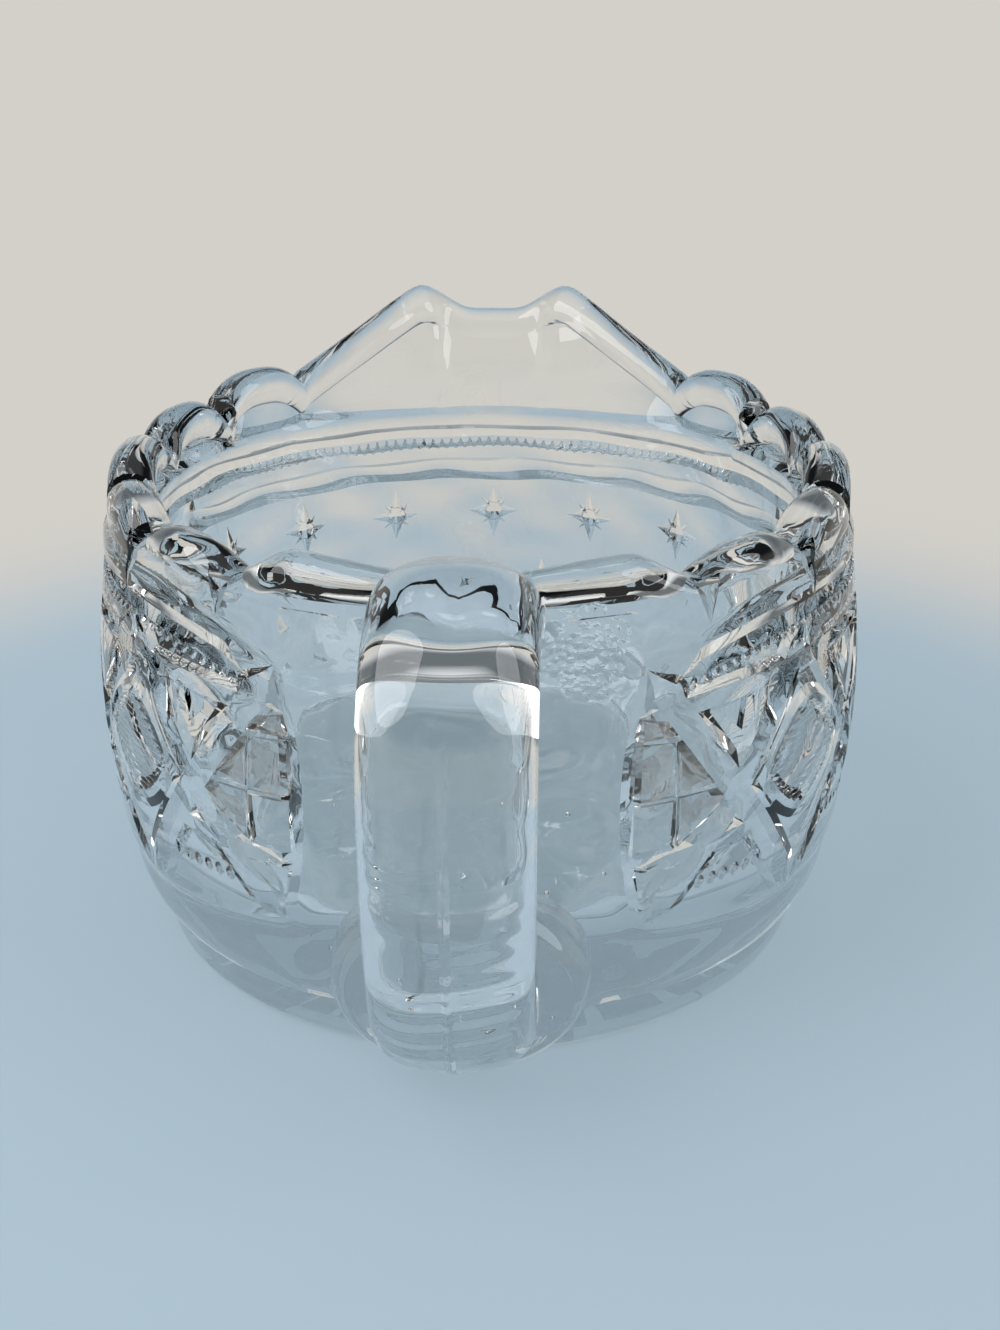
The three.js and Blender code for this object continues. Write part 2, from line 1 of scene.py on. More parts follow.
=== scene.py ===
"""Pressed glass cream jug: the dressed model.

The jug is one pressing of clear glass, so its body, panels, rim, spout and handle are made as one
closed surface. The wall is a turned form with raised panels. The mitre cuts, beads, hatching, stars
and small ground faces are drawn flat, as on a mould cutter's sheet, wrapped round the wall and cut
out of it.

Sizes are in millimetres and angles in degrees, as on the drawing, and MM turns a size to metres
when a mesh is made. The origin is the centre of the foot, the spout points to +Y and the handle
to -Y. Angles round the jug start at the spout and grow towards +X.
"""

import logging
import math
from dataclasses import dataclass, field
from enum import Enum
from typing import Any, Callable, Sequence

import bpy
import numpy as np
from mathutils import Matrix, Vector


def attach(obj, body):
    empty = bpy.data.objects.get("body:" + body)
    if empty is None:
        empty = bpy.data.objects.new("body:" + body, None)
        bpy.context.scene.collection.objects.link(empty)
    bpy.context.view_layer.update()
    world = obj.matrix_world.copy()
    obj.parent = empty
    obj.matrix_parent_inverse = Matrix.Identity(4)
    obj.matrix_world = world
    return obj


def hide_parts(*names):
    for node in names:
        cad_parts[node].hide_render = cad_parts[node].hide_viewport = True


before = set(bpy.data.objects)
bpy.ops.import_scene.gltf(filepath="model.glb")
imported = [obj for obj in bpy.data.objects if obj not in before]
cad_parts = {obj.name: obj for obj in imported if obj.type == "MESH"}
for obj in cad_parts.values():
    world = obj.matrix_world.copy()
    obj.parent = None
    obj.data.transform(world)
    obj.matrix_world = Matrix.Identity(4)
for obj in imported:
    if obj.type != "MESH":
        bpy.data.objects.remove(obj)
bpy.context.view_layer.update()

logging.basicConfig(level=logging.INFO, format="%(message)s")
log = logging.getLogger("cream_jug")

MM = 0.001
BODY = "root"
CAD_NODES = (
    "foot", "bowl", "front_panel", "right_panel", "left_panel",
    "rim_collar", "spout", "handle", "handle_pad",
)

Numbers = float | np.ndarray
Pair = tuple[float, float]
Place = tuple[float, float, float]
Line = Sequence[np.ndarray]


def lerp(a: Numbers, b: Numbers, t: Numbers) -> Numbers:
    """Mixes two values, from a at 0 to b at 1."""
    return a + (b - a) * t


def smooth(t: Numbers) -> Numbers:
    """Eases a share between 0 and 1, clamped at both ends."""
    t = np.clip(t, 0.0, 1.0)
    return t * t * (3.0 - 2.0 * t)


def quarter(steps: int) -> np.ndarray:
    """Angles of a quarter turn in even steps, without the first."""
    return np.linspace(0, math.pi / 2, steps + 1)[1:]


def full_turn(steps: int) -> np.ndarray:
    """Angles of a full turn in even steps."""
    return np.linspace(0, 2 * math.pi, steps, endpoint=False)


def place_round(radius: Numbers, turn: Numbers, height: Numbers) -> np.ndarray:
    """Points round the jug at radii, angles from the spout in radians, and heights."""
    return np.stack(np.broadcast_arrays(radius * np.sin(turn), radius * np.cos(turn), height), -1)


def linear(code: str) -> tuple[float, float, float, float]:
    """Turns an sRGB hex colour to linear light.

    Args:
        code: Six hex digits after a hash sign.

    Returns:
        Red, green, blue and an alpha of 1.
    """
    shares = [int(code[i:i + 2], 16) / 255 for i in (1, 3, 5)]
    # The sRGB standard's curve: straight near black, then a power
    red, green, blue = [s / 12.92 if s <= 0.04045 else ((s + 0.055) / 1.055) ** 2.4 for s in shares]
    return (red, green, blue, 1.0)


def add_node(tree: bpy.types.NodeTree, kind: str, inputs: dict[Any, Any] | None = None,
             **settings: Any) -> bpy.types.Node:
    """Adds a node to a material, world or geometry tree.

    Args:
        tree: The tree that takes the node.
        kind: The node's type.
        inputs: Sockets by name or number, each with a node or an output to link, or a value to hold.
        settings: Properties to set on the node.

    Returns:
        The new node.
    """
    node = tree.nodes.new(kind)
    for name, value in settings.items():
        setattr(node, name, value)
    for name, value in (inputs or {}).items():
        if isinstance(value, bpy.types.Node):
            value = value.outputs[0]
        if isinstance(value, bpy.types.NodeSocket):
            tree.links.new(value, node.inputs[name])
        else:
            node.inputs[name].default_value = value
    return node


def mesh_object(name: str, points: np.ndarray, faces: Sequence[Sequence[int]] = (),
                edges: Sequence[Sequence[int]] = ()) -> bpy.types.Object:
    """Makes a mesh object from millimetre points.

    Args:
        name: Name of the object and its mesh.
        points: One row per vertex, in millimetres.
        faces: Vertex numbers of each face, or none on a guide that a geometry tree reads.
        edges: Pairs of vertex numbers that a guide has.

    Returns:
        The object, linked to the scene.
    """
    mesh = bpy.data.meshes.new(name)
    mesh.from_pydata((np.asarray(points) * MM).tolist(), [list(e) for e in edges], [list(f) for f in faces])
    mesh.update()
    made = bpy.data.objects.new(name, mesh)
    bpy.context.scene.collection.objects.link(made)
    return made


def evaluated_mesh(shape: bpy.types.Object) -> None:
    """Turns an object's modifiers into its plain mesh and removes them.

    Args:
        shape: The object, which keeps its name and place.
    """
    graph = bpy.context.evaluated_depsgraph_get()
    plain = bpy.data.meshes.new_from_object(shape.evaluated_get(graph))
    shape.modifiers.clear()
    shape.data = plain


def band_faces(rows: int, count: int, first: int = 0) -> list[list[int]]:
    """Faces between closed loops of points.

    Args:
        rows: Number of loops.
        count: Points in each loop.
        first: Number of the first loop's first point.

    Returns:
        Four point numbers for each face.
    """
    faces = []
    for start in range(first, first + (rows - 1) * count, count):
        for k in range(count):
            k2 = (k + 1) % count
            faces.append([start + k, start + k2, start + count + k2, start + count + k])
    return faces


class Join(Enum):
    """How one solid is worked into another."""

    FUSE = "UNION"
    CUT = "DIFFERENCE"


def work(base: bpy.types.Object, tool: bpy.types.Object, how: Join) -> None:
    """Fuses a solid to another, or cuts it out, and removes it.

    Args:
        base: The solid that stays.
        tool: The solid that is added or taken away.
        how: Which of the two.
    """
    modifier = base.modifiers.new("work", "BOOLEAN")
    modifier.operation = how.value
    modifier.solver = "MANIFOLD"
    modifier.object = tool
    evaluated_mesh(base)
    bpy.data.objects.remove(tool)


def loft(name: str, loops: np.ndarray) -> bpy.types.Object:
    """Lays a skin over loops with equal numbers of points and closes both ends.

    Args:
        name: Name of the new object.
        loops: Array of loops, points and coordinates, in millimetres.

    Returns:
        The closed solid.
    """
    rows, count = loops.shape[:2]
    ends = [list(range(count))[::-1], list(range((rows - 1) * count, rows * count))]
    made = mesh_object(name, loops.reshape(-1, 3), band_faces(rows, count) + ends)
    face_out(made)
    return made


def face_out(shape: bpy.types.Object) -> None:
    """Turns a closed mesh inside out if its faces point in.

    Args:
        shape: The object whose mesh is looked at.
    """
    mesh = shape.data
    mesh.calc_loop_triangles()
    corners = np.zeros(len(mesh.vertices) * 3)
    mesh.vertices.foreach_get("co", corners)
    corners = corners.reshape(-1, 3)
    index = np.zeros(len(mesh.loop_triangles) * 3, np.int32)
    mesh.loop_triangles.foreach_get("vertices", index)
    a, b, c = (corners[index.reshape(-1, 3)[:, k]] for k in range(3))
    if np.einsum("ij,ij->i", a, np.cross(b, c)).sum() < 0:
        mesh.flip_normals()


@dataclass(frozen=True)
class Bowl:
    """The turned form: foot, shoulder, wall, floor and the raised panels round the wall."""

    foot_height: float = 5.0
    foot_radius: float = 40.0
    foot_rounding: float = 1.3
    shoulder_rise: float = 9.0
    body_top: float = 50.4
    body_radius: float = 43.6
    neck_radius: float = 42.7
    floor_thickness: float = 5.0
    lower_wall: float = 8.4
    rim_wall: float = 5.2
    floor_rounding: float = 9.0
    panel_rise: float = 1.7
    panel_edge_rise: float = 0.5
    panel_near_angle: float = 155.5
    panel_near_bow: float = 2.6
    panel_bottom: float = 13.8
    panel_corner_lift: float = 2.8
    panel_top: float = 49.6
    panel_corner_drop: float = 5.4
    panel_corner_span: float = 30.0
    panel_shoulder_drop: float = 4.1
    edge_step: float = 0.75
    drawing_radius: float = 44.6
    wave_depth: float = 0.2
    waves_round: int = 17
    wave_height: float = 12.0
    plain_wave: float = 1.7
    wave_climb: float = 1.4
    wave_sway: float = 2.0
    floor_sways: Pair = (1.7, 1.3)
    floor_stretch: float = 0.8
    inner_fullness: float = 0.74

    @property
    def floor_top(self) -> float:
        """Height of the floor inside the bowl."""
        return self.foot_height + self.floor_thickness

    def wall_radius(self, z: Numbers) -> Numbers:
        """Radius of the plain wall outside, at a height.

        Args:
            z: Heights over the table.

        Returns:
            The radii, of the shoulder below its top and of the barrel above.
        """
        shoulder_top = self.foot_height + self.shoulder_rise
        low = np.clip((z - self.foot_height) / self.shoulder_rise, 0, 1)
        high = np.clip((z - shoulder_top) / (self.body_top - shoulder_top), 0, 1)
        shoulder = lerp(self.foot_radius, self.body_radius, np.sqrt(1 - (1 - low) ** 2))
        return np.where(z < shoulder_top, shoulder, lerp(self.body_radius, self.neck_radius, high ** 3))

    def corner_share(self, angle: Numbers) -> Numbers:
        """Share from 0 to 1 by which a panel is drawn together near the handle."""
        start = self.panel_near_angle - self.panel_corner_span
        return np.clip((np.abs(angle) - start) / self.panel_corner_span, 0, 1) ** 2

    def low_edge(self, angle: Numbers) -> Numbers:
        """Height of the panels' lower edge."""
        return self.panel_bottom + self.panel_corner_lift * self.corner_share(angle)

    def high_edge(self, angle: Numbers) -> Numbers:
        """Height of the panels' upper edge."""
        return self.panel_top - self.panel_corner_drop * self.corner_share(angle)

    def near_edge(self, v: Numbers) -> Numbers:
        """Angle of the panels' bowed edge towards the handle, at a share of the panel's height."""
        return self.panel_near_angle + self.panel_near_bow * 4 * v * (1 - v)

    def surface(self, angle: Numbers, z: Numbers) -> Numbers:
        """Radius of the wall outside with its raised panels.

        Args:
            angle: Angles from the spout.
            z: Heights over the table.

        Returns:
            The radii.
        """
        low, high = self.low_edge(angle), self.high_edge(angle)
        v = np.clip((z - low) / (high - low), 0, 1)
        crown = np.clip((z - low) / (high - self.panel_shoulder_drop - low), 0, 1)
        step = self.edge_step
        arc = np.radians(self.near_edge(v) - np.abs(angle)) * self.drawing_radius
        inside = np.clip(np.minimum(z - low, high - z) / (2 * step) + 0.5, 0, 1)
        inside = inside * np.clip(arc / (2 * step) + 0.5, 0, 1)
        rise = lerp(self.panel_edge_rise, self.panel_rise, np.sin(crown * math.pi))
        plain = self.plain_wave * np.clip((-arc - step) / step, 0, 1)
        return self.wall_radius(z) + rise * inside + self.wave(angle, z) * plain

    def wave(self, angle: Numbers, z: Numbers) -> Numbers:
        """Gentle unevenness that the chilled mould leaves in a plain wall.

        Args:
            angle: Angles from the spout.
            z: Heights over the table.

        Returns:
            How far the wall swells there.
        """
        turn = np.radians(angle) * self.waves_round
        climb = z * 2 * math.pi / self.wave_height
        cross = self.wave_climb * climb - self.wave_sway * np.cos(turn / 2)
        return self.wave_depth / 2 * (np.sin(turn + climb) + np.sin(cross))

    def wrap(self, shape: bpy.types.Object) -> None:
        """Bends a flat drawing round the wall.

        The drawing has arcs round the jug along X, heights along Y and depths along Z, with the
        panel's face at depth 0.

        Args:
            shape: The object whose mesh is bent.
        """
        mesh = shape.data
        flat = np.zeros(len(mesh.vertices) * 3, np.float32)
        mesh.vertices.foreach_get("co", flat)
        arc, z, out = (flat.reshape(-1, 3).astype(float) / MM).T
        angle = np.degrees(arc / self.drawing_radius)
        bent = place_round(self.surface(angle, z) + out, np.radians(angle), z) * MM
        mesh.vertices.foreach_set("co", bent.astype(np.float32).ravel())
        mesh.update()
        face_out(shape)

    def inner_radius(self, z: Numbers) -> Numbers:
        """Radius of the wall inside, between the rounded corner of the floor and the neck.

        Args:
            z: Heights over the table.

        Returns:
            The radii.
        """
        low = self.body_radius - self.lower_wall
        corner_top = self.floor_top + self.floor_rounding
        t = np.clip((z - corner_top) / (self.body_top - corner_top), 0, 1)
        return lerp(low, self.neck_radius - self.rim_wall, t ** self.inner_fullness)

    def floor_wave(self, angle: Numbers, radius: Numbers) -> Numbers:
        """Gentle unevenness of the floor inside, at an angle and a radius.

        Args:
            angle: Angles from the spout.
            radius: Distances from the jug's middle.

        Returns:
            How far the floor rises there.
        """
        turn = np.radians(angle)
        pitch = 2 * math.pi / self.wave_height
        x, y = radius * np.sin(turn) * pitch, radius * np.cos(turn) * pitch
        across = np.sin(x + self.floor_sways[0] * np.cos(y))
        along = np.sin(self.floor_stretch * y + self.floor_sways[1] * np.sin(x))
        return self.wave_depth / 2 * (across + along - 1)


@dataclass(frozen=True)
class Rim:
    """The scalloped rim, which rises to the horns of the spout and dips to the handle."""

    bowl: Bowl
    radius: float = 41.8
    lip_rise: float = 13.6
    horn_rise: float = 17.1
    bar_end_rise: float = 7.4
    lip_level_angle: float = 4.0
    horn_angle: float = 13.7
    horn_rounding: float = 1.8
    horn_samples: int = 9
    spout_angle: float = 40.0
    scallop_rises: tuple[float, ...] = (8.8, 7.0, 6.4, 5.2, 4.2)
    scallop_depth: float = 3.2
    scallop_fullness: float = 2.8
    last_notch_angle: float = 146.0
    near_notch_rise: float = 1.9
    hump_rise: float = 5.0
    hump_angle: float = 157.0
    handle_rim_rise: float = 3.6
    round_share: float = 0.75
    flare: float = 5.1
    flare_spread: float = 24.0
    bead: float = 5.4
    bead_side: float = 2.1
    bead_step: float = 1.9
    bead_rows: int = 5
    bead_side_share: float = 0.6
    undercut: float = 0.1
    lip_wall: float = 3.4
    lip_angle: float = 8.0
    lip_fade: float = 5.0

    @property
    def lobe_span(self) -> float:
        """Angle that one scallop takes."""
        return (self.last_notch_angle - self.spout_angle) / len(self.scallop_rises)

    def notches(self) -> list[float]:
        """Angles of the notches on one side, from the end of the spout's bar to the last."""
        return [self.spout_angle + self.lobe_span * i for i in range(len(self.scallop_rises) + 1)]

    def rise(self, angle: float) -> float:
        """Height of the rim over the neck, with the horns rounded off.

        Args:
            angle: Angle from the spout, between -180 and 180.

        Returns:
            The rise.
        """
        if abs(angle) > self.spout_angle - 2 * self.horn_rounding:
            return self.sharp_rise(abs(angle))
        shifts = np.linspace(-self.horn_rounding, self.horn_rounding, self.horn_samples)
        return float(np.mean([self.sharp_rise(abs(angle + shift)) for shift in shifts]))

    def sharp_rise(self, turn: float) -> float:
        """Height of the rim over the neck, with a corner at each horn.

        Args:
            turn: Angle from the spout, between 0 and 180.

        Returns:
            The rise.
        """
        if turn <= self.horn_angle:
            share = (turn - self.lip_level_angle) / (self.horn_angle - self.lip_level_angle)
            return float(lerp(self.lip_rise, self.horn_rise, smooth(share)))
        if turn <= self.spout_angle:
            share = (turn - self.horn_angle) / (self.spout_angle - self.horn_angle)
            return lerp(self.horn_rise, self.bar_end_rise, share)
        if turn < self.last_notch_angle:
            place = (turn - self.spout_angle) / self.lobe_span
            lobe = min(int(place), len(self.scallop_rises) - 1)
            offset = 2 * (place - lobe) - 1
            top = self.scallop_rises[lobe]
            last = lobe == len(self.scallop_rises) - 1 and offset > 0
            depth = top - self.near_notch_rise if last else self.scallop_depth
            return top - depth * abs(offset) ** self.scallop_fullness
        if turn < self.hump_angle:
            share = (turn - self.last_notch_angle) / (self.hump_angle - self.last_notch_angle)
            return float(lerp(self.near_notch_rise, self.hump_rise, smooth(share)))
        share = (turn - self.hump_angle) / (180 - self.hump_angle)
        return float(lerp(self.hump_rise, self.handle_rim_rise, smooth(share)))

    def lean(self, angle: float, height: Numbers) -> Numbers:
        """How far the wall leans out over the spout, at a height over the neck."""
        spread = math.exp(-((abs(angle) / self.flare_spread) ** 4))
        return self.flare * spread * np.clip(height / self.horn_rise, 0, 1) ** 2

    def section(self, angle: float, side_steps: int, round_steps: int) -> tuple[np.ndarray, np.ndarray]:
        """Outside, round edge and inside of the rim wall at an angle.

        Args:
            angle: Angle from the spout.
            side_steps: Steps up each straight side.
            round_steps: Steps over the round edge.

        Returns:
            Radii and heights from the neck outside, over the edge, to the neck inside.
        """
        wall = self.bowl.rim_wall
        rise = self.rise(angle)
        top_wall = lerp(self.lip_wall, self.bead, smooth((abs(angle) - self.lip_angle) / self.lip_fade))
        cap = min(top_wall / 2, rise * self.round_share)
        straight = rise - cap
        waist = wall - self.bead_step * (top_wall - self.lip_wall) / (self.bead - self.lip_wall)
        up = np.linspace(0, straight, side_steps + 1)[1:]
        turn = np.linspace(0, math.pi, round_steps + 1)[1:-1]
        waist = min(waist, top_wall - self.undercut)
        under = np.linspace(0, math.pi / 2, self.bead_rows + 1)
        side = min(self.bead_side, straight * self.bead_side_share)
        crease = straight - side
        down = np.linspace(crease, 0, side_steps)[1:]
        heights = np.concatenate([up, straight + cap * np.sin(turn), straight - side * np.sin(under), down])
        across = np.concatenate([np.zeros(len(up)), top_wall / 2 * (np.cos(turn) - 1),
                                 -lerp(waist, top_wall, np.cos(under)),
                                 -lerp(waist, wall, 1 - down / crease)])
        base = np.minimum(heights, straight)
        outside = lerp(self.bowl.neck_radius, self.radius, base / self.horn_rise)
        return outside + across + self.lean(angle, heights), self.bowl.body_top + heights


@dataclass(frozen=True)
class TurnedBody:
    """Builds the closed surface of foot, bowl and rim."""

    bowl: Bowl
    rim: Rim
    column_step: float = 1.25
    horn_step: float = 0.7
    foot_rings: int = 8
    foot_rows: int = 4
    shoulder_rows: int = 8
    edge_rows: int = 3
    panel_rows: int = 26
    neck_rows: int = 3
    neck_gap: float = 0.1
    bow_spread: float = 9.0
    side_steps: int = 9
    round_steps: int = 12
    inner_rows: int = 16
    corner_rows: int = 9
    floor_rings: int = 14

    def half_angles(self) -> list[float]:
        """Angles of the columns on one side, with one on each notch and on the panel's edge.

        Returns:
            Angles from 0 to 180.
        """
        bowl, rim = self.bowl, self.rim
        step = math.degrees(bowl.edge_step / bowl.drawing_radius)
        edge = [bowl.panel_near_angle + step * share for share in (-1, 0, 1)]
        horn = [rim.horn_angle + 2 * rim.horn_rounding * share for share in (-1, 0, 1)]
        marks = sorted([0.0, *horn, *rim.notches(), *edge, 180.0])
        angles = [0.0]
        for low, high in zip(marks, marks[1:]):
            step = self.horn_step if high <= horn[-1] else self.column_step
            count = max(1, round((high - low) / step))
            angles += [lerp(low, high, (i + 1) / count) for i in range(count)]
        return angles

    def wall_rows(self, angle: float) -> tuple[np.ndarray, np.ndarray]:
        """Heights of the wall's rows outside, and each row's share of the panel's height.

        Args:
            angle: The column's angle.

        Returns:
            The heights and the shares.
        """
        bowl, step = self.bowl, self.bowl.edge_step
        low, high = bowl.low_edge(angle), bowl.high_edge(angle)
        neck = min(high + step, bowl.body_top - self.neck_gap)
        marks = (bowl.foot_height, low - step, low + step, high - bowl.panel_shoulder_drop, high - step,
                 neck, bowl.body_top)
        counts = (self.shoulder_rows, self.edge_rows, self.panel_rows, self.edge_rows, self.edge_rows,
                  self.neck_rows)
        spans = [np.linspace(a, b, n + 1)[:-1] for a, b, n in zip(marks, marks[1:], counts)]
        z = np.concatenate(spans + [[bowl.body_top]])
        return z, np.clip((z - low) / (high - low), 0, 1)

    def column(self, angle: float) -> np.ndarray:
        """Points of one column, from beside the centre of the foot to beside the floor's centre.

        Args:
            angle: The column's angle before it follows the bowed edge.

        Returns:
            Angle, radius and height of each point.
        """
        bowl = self.bowl
        rounding = bowl.foot_rounding
        flat = np.linspace(0, bowl.foot_radius - rounding, self.foot_rings + 1)[1:]
        turn = quarter(self.foot_rows)
        foot_r = np.concatenate([flat, bowl.foot_radius - rounding * (1 - np.sin(turn))])
        foot_z = np.concatenate([np.zeros(len(flat)), rounding * (1 - np.cos(turn))])
        wall_z, v = self.wall_rows(angle)
        pull = math.exp(-(((abs(angle) - bowl.panel_near_angle) / self.bow_spread) ** 2))
        bow = math.copysign(bowl.panel_near_bow * pull, angle) * 4 * v * (1 - v)
        wall_angle = angle + bow
        wall_r = bowl.surface(wall_angle, wall_z)
        rim_r, rim_z = self.rim.section(angle, self.side_steps, self.round_steps)
        corner_top = bowl.floor_top + bowl.floor_rounding
        inner_z = np.linspace(bowl.body_top, corner_top, self.inner_rows + 1)[1:]
        fade = np.clip((bowl.body_top - inner_z) / bowl.panel_shoulder_drop, 0, 1)
        inner_r = bowl.inner_radius(inner_z) + bowl.wave(angle, inner_z) * fade
        turn = quarter(self.corner_rows)
        low = bowl.body_radius - bowl.lower_wall
        corner_r = low - bowl.floor_rounding * (1 - np.cos(turn))
        corner_z = corner_top - bowl.floor_rounding * np.sin(turn)
        ebb = 1 - turn / (math.pi / 2)
        corner_r = corner_r + bowl.wave(angle, corner_top) * ebb
        corner_z = corner_z + bowl.floor_wave(angle, corner_r[-1]) * (1 - ebb)
        floor_r = np.linspace(corner_r[-1], 0, self.floor_rings + 1)[1:-1]
        floor_z = bowl.floor_top + bowl.floor_wave(angle, floor_r)
        radius = np.concatenate([foot_r, wall_r, rim_r, inner_r, corner_r, floor_r])
        z = np.concatenate([foot_z, wall_z, rim_z, inner_z, corner_z, floor_z])
        turned = np.full(len(radius), float(angle))
        turned[len(foot_r):len(foot_r) + len(wall_z)] = wall_angle
        return np.stack([turned, radius, z], 1)

    def build(self) -> bpy.types.Object:
        """Builds the closed body.

        Returns:
            The body's object.
        """
        half = self.half_angles()
        angles = [-a for a in half[::-1][:-1]] + half[:-1]
        columns = np.array([self.column(a) for a in angles])
        grid = place_round(columns[:, :, 1], np.radians(columns[:, :, 0]), columns[:, :, 2])
        count, rows = grid.shape[:2]
        middle = self.bowl.floor_top + self.bowl.floor_wave(0.0, 0.0)
        points = np.concatenate([grid.reshape(-1, 3), [[0, 0, 0], [0, 0, middle]]])
        foot_pole, floor_pole = count * rows, count * rows + 1
        faces = []
        for c in range(count):
            here, there = c * rows, ((c + 1) % count) * rows
            faces.append([foot_pole, here, there])
            for r in range(rows - 1):
                faces.append([here + r, here + r + 1, there + r + 1, there + r])
            faces.append([floor_pole, there + rows - 1, here + rows - 1])
        body = mesh_object("pressed_jug", points, faces)
        face_out(body)
        return body


@dataclass(frozen=True)
class Handle:
    """The thick loop handle and the boss at its foot."""

    bowl: Bowl
    width: float = 15.4
    thickness: float = 10.4
    reach: float = 20.95
    top_rise: float = 7.55
    foot_height: float = 11.0
    curve: tuple[Pair, ...] = (
        (-0.32, 0.9), (-0.08, 0.965), (0.2, 1.0), (0.62, 0.96), (0.94, 0.81), (1.0, 0.58),
        (0.94, 0.34), (0.7, 0.12),
    )
    curve_steps: int = 40
    crown_squareness: float = 0.93
    squareness: float = 0.8
    crown_run: float = 0.4
    seam: float = 0.3
    seam_width: float = 0.02
    seam_start: float = 0.36
    seam_end: float = 0.97
    seam_fade: float = 0.04
    seam_places: tuple[float, ...] = (0.5, 1.0, 1.6)
    flare: float = 0.12
    flare_run: float = 0.07
    fold_place: float = 0.885
    fold_depth: float = 0.5
    fold_width: float = 0.008
    fold_sway: float = 0.008
    ripple_depth: float = 0.13
    ripples: int = 27
    ripple_sway: float = 1.6
    ripple_fade: float = 0.1
    sways: int = 3
    patches: float = 19.0
    patch_slant: float = 2.0
    path_steps: int = 200
    section_steps: int = 96
    pad_half_width: float = 13.2
    pad_half_height: float = 10.6
    pad_height: float = 13.4
    pad_thickness: float = 4.6
    pad_shoulder: float = 2.6
    pad_rows: int = 11

    def route(self) -> np.ndarray:
        """Points that the middle of the handle passes through: y and z.

        Returns:
            One row for each point, from inside the rim down to the boss.
        """
        wall = -self.bowl.body_radius
        outer = wall - self.reach + self.thickness / 2
        top = self.bowl.body_top + self.top_rise - self.thickness / 2
        low = self.foot_height
        shares = [[lerp(wall, outer, out), lerp(low, top, up)] for out, up in self.curve]
        return np.array(shares + [[wall - self.pad_thickness / 2, low]])

    def path(self) -> tuple[np.ndarray, np.ndarray]:
        """Smooth line through the route.

        Returns:
            Points along it, evenly spaced, and its directions there, as y and z.
        """
        route = self.route()
        ends = np.concatenate([[2 * route[0] - route[1]], route, [2 * route[-1] - route[-2]]])
        fine = []
        # A centripetal spline: its knots are spaced by the square roots of the distances.
        for p0, p1, p2, p3 in zip(ends, ends[1:], ends[2:], ends[3:]):
            t0 = 0.0
            t1 = t0 + np.linalg.norm(p1 - p0) ** 0.5
            t2 = t1 + np.linalg.norm(p2 - p1) ** 0.5
            t3 = t2 + np.linalg.norm(p3 - p2) ** 0.5
            for t in np.linspace(t1, t2, self.curve_steps, endpoint=False):
                a1 = lerp(p0, p1, (t - t0) / (t1 - t0))
                a2 = lerp(p1, p2, (t - t1) / (t2 - t1))
                a3 = lerp(p2, p3, (t - t2) / (t3 - t2))
                b1 = lerp(a1, a2, (t - t0) / (t2 - t0))
                b2 = lerp(a2, a3, (t - t1) / (t3 - t1))
                fine.append(lerp(b1, b2, (t - t1) / (t2 - t1)))
        line = np.array(fine + [route[-1]])
        run = np.concatenate([[0], np.cumsum(np.linalg.norm(np.diff(line, axis=0), axis=1))])
        even = np.linspace(0, run[-1], self.path_steps + 1)
        points = np.stack([np.interp(even, run, line[:, k]) for k in range(2)], 1)
        ways = np.gradient(points, axis=0)
        return points, ways / np.linalg.norm(ways, axis=1)[:, None]

    def bar(self) -> bpy.types.Object:
        """Builds the loop, flared where it grows out of the rim and the boss.

        Returns:
            The loop as a closed solid.
        """
        points, ways = self.path()
        beside = self.seam_width * np.array(self.seam_places)
        turn = np.sort(np.concatenate([full_turn(self.section_steps), beside, 2 * math.pi - beside]))
        share = np.linspace(0, 1, len(points))[:, None]
        square = lerp(self.crown_squareness, self.squareness, smooth(share / self.crown_run))

        def eased(value: np.ndarray) -> np.ndarray:
            """Fills out a round section towards a square one."""
            return np.sign(value) * np.abs(value) ** square

        seam = self.seam * np.exp(-((np.minimum(turn, 2 * math.pi - turn) / self.seam_width) ** 2))
        seam = seam * smooth((share - self.seam_start) / self.seam_fade)
        seam = seam * smooth((self.seam_end - share) / self.seam_fade)
        grow = 1 + self.flare * (np.exp(-share / self.flare_run) + np.exp(-(1 - share) / self.flare_run))
        side = self.width / 2 * eased(np.sin(turn)[None]) * grow
        out = self.thickness / 2 * eased(np.cos(turn)[None]) + seam
        front = np.clip(np.cos(turn)[None], 0, 1)
        sway = np.sin(self.sways * turn)[None]
        fold = (share - self.fold_place - self.fold_sway * sway) / self.fold_width
        ripple = (1 + np.sin(2 * math.pi * self.ripples * share + self.ripple_sway * sway)) / 2
        patch = 0.5 + 0.5 * np.sin(self.patches * share + self.patch_slant * turn[None])
        patch = patch * smooth((share - self.seam_start) / self.ripple_fade)
        out = out - front * (self.fold_depth * np.exp(-fold ** 2) + self.ripple_depth * patch * ripple)
        loops = np.zeros((len(points), len(turn), 3))
        loops[:, :, 0] = side
        loops[:, :, 1] = points[:, 0, None] + ways[:, 1, None] * out
        loops[:, :, 2] = points[:, 1, None] - ways[:, 0, None] * out
        return loft("handle_bar", loops)

    def pad(self) -> bpy.types.Object:
        """Builds the boss, an oval cushion between the wall and the foot of the handle.

        Returns:
            The boss as a closed solid.
        """
        wall = -self.bowl.body_radius
        turn = full_turn(self.section_steps)
        bend = np.concatenate([[0], quarter(self.pad_rows)])
        depth = np.concatenate([[-self.bowl.lower_wall / 2], self.pad_thickness * np.sin(bend)])
        inset = np.concatenate([[0], self.pad_shoulder * (1 - np.cos(bend))])
        loops = np.zeros((len(depth), len(turn), 3))
        for i, (out, less) in enumerate(zip(depth, inset)):
            loops[i, :, 0] = (self.pad_half_width - less) * np.sin(turn)
            loops[i, :, 1] = wall - out
            loops[i, :, 2] = self.pad_height + (self.pad_half_height - less) * np.cos(turn)
        return loft("handle_boss", loops)


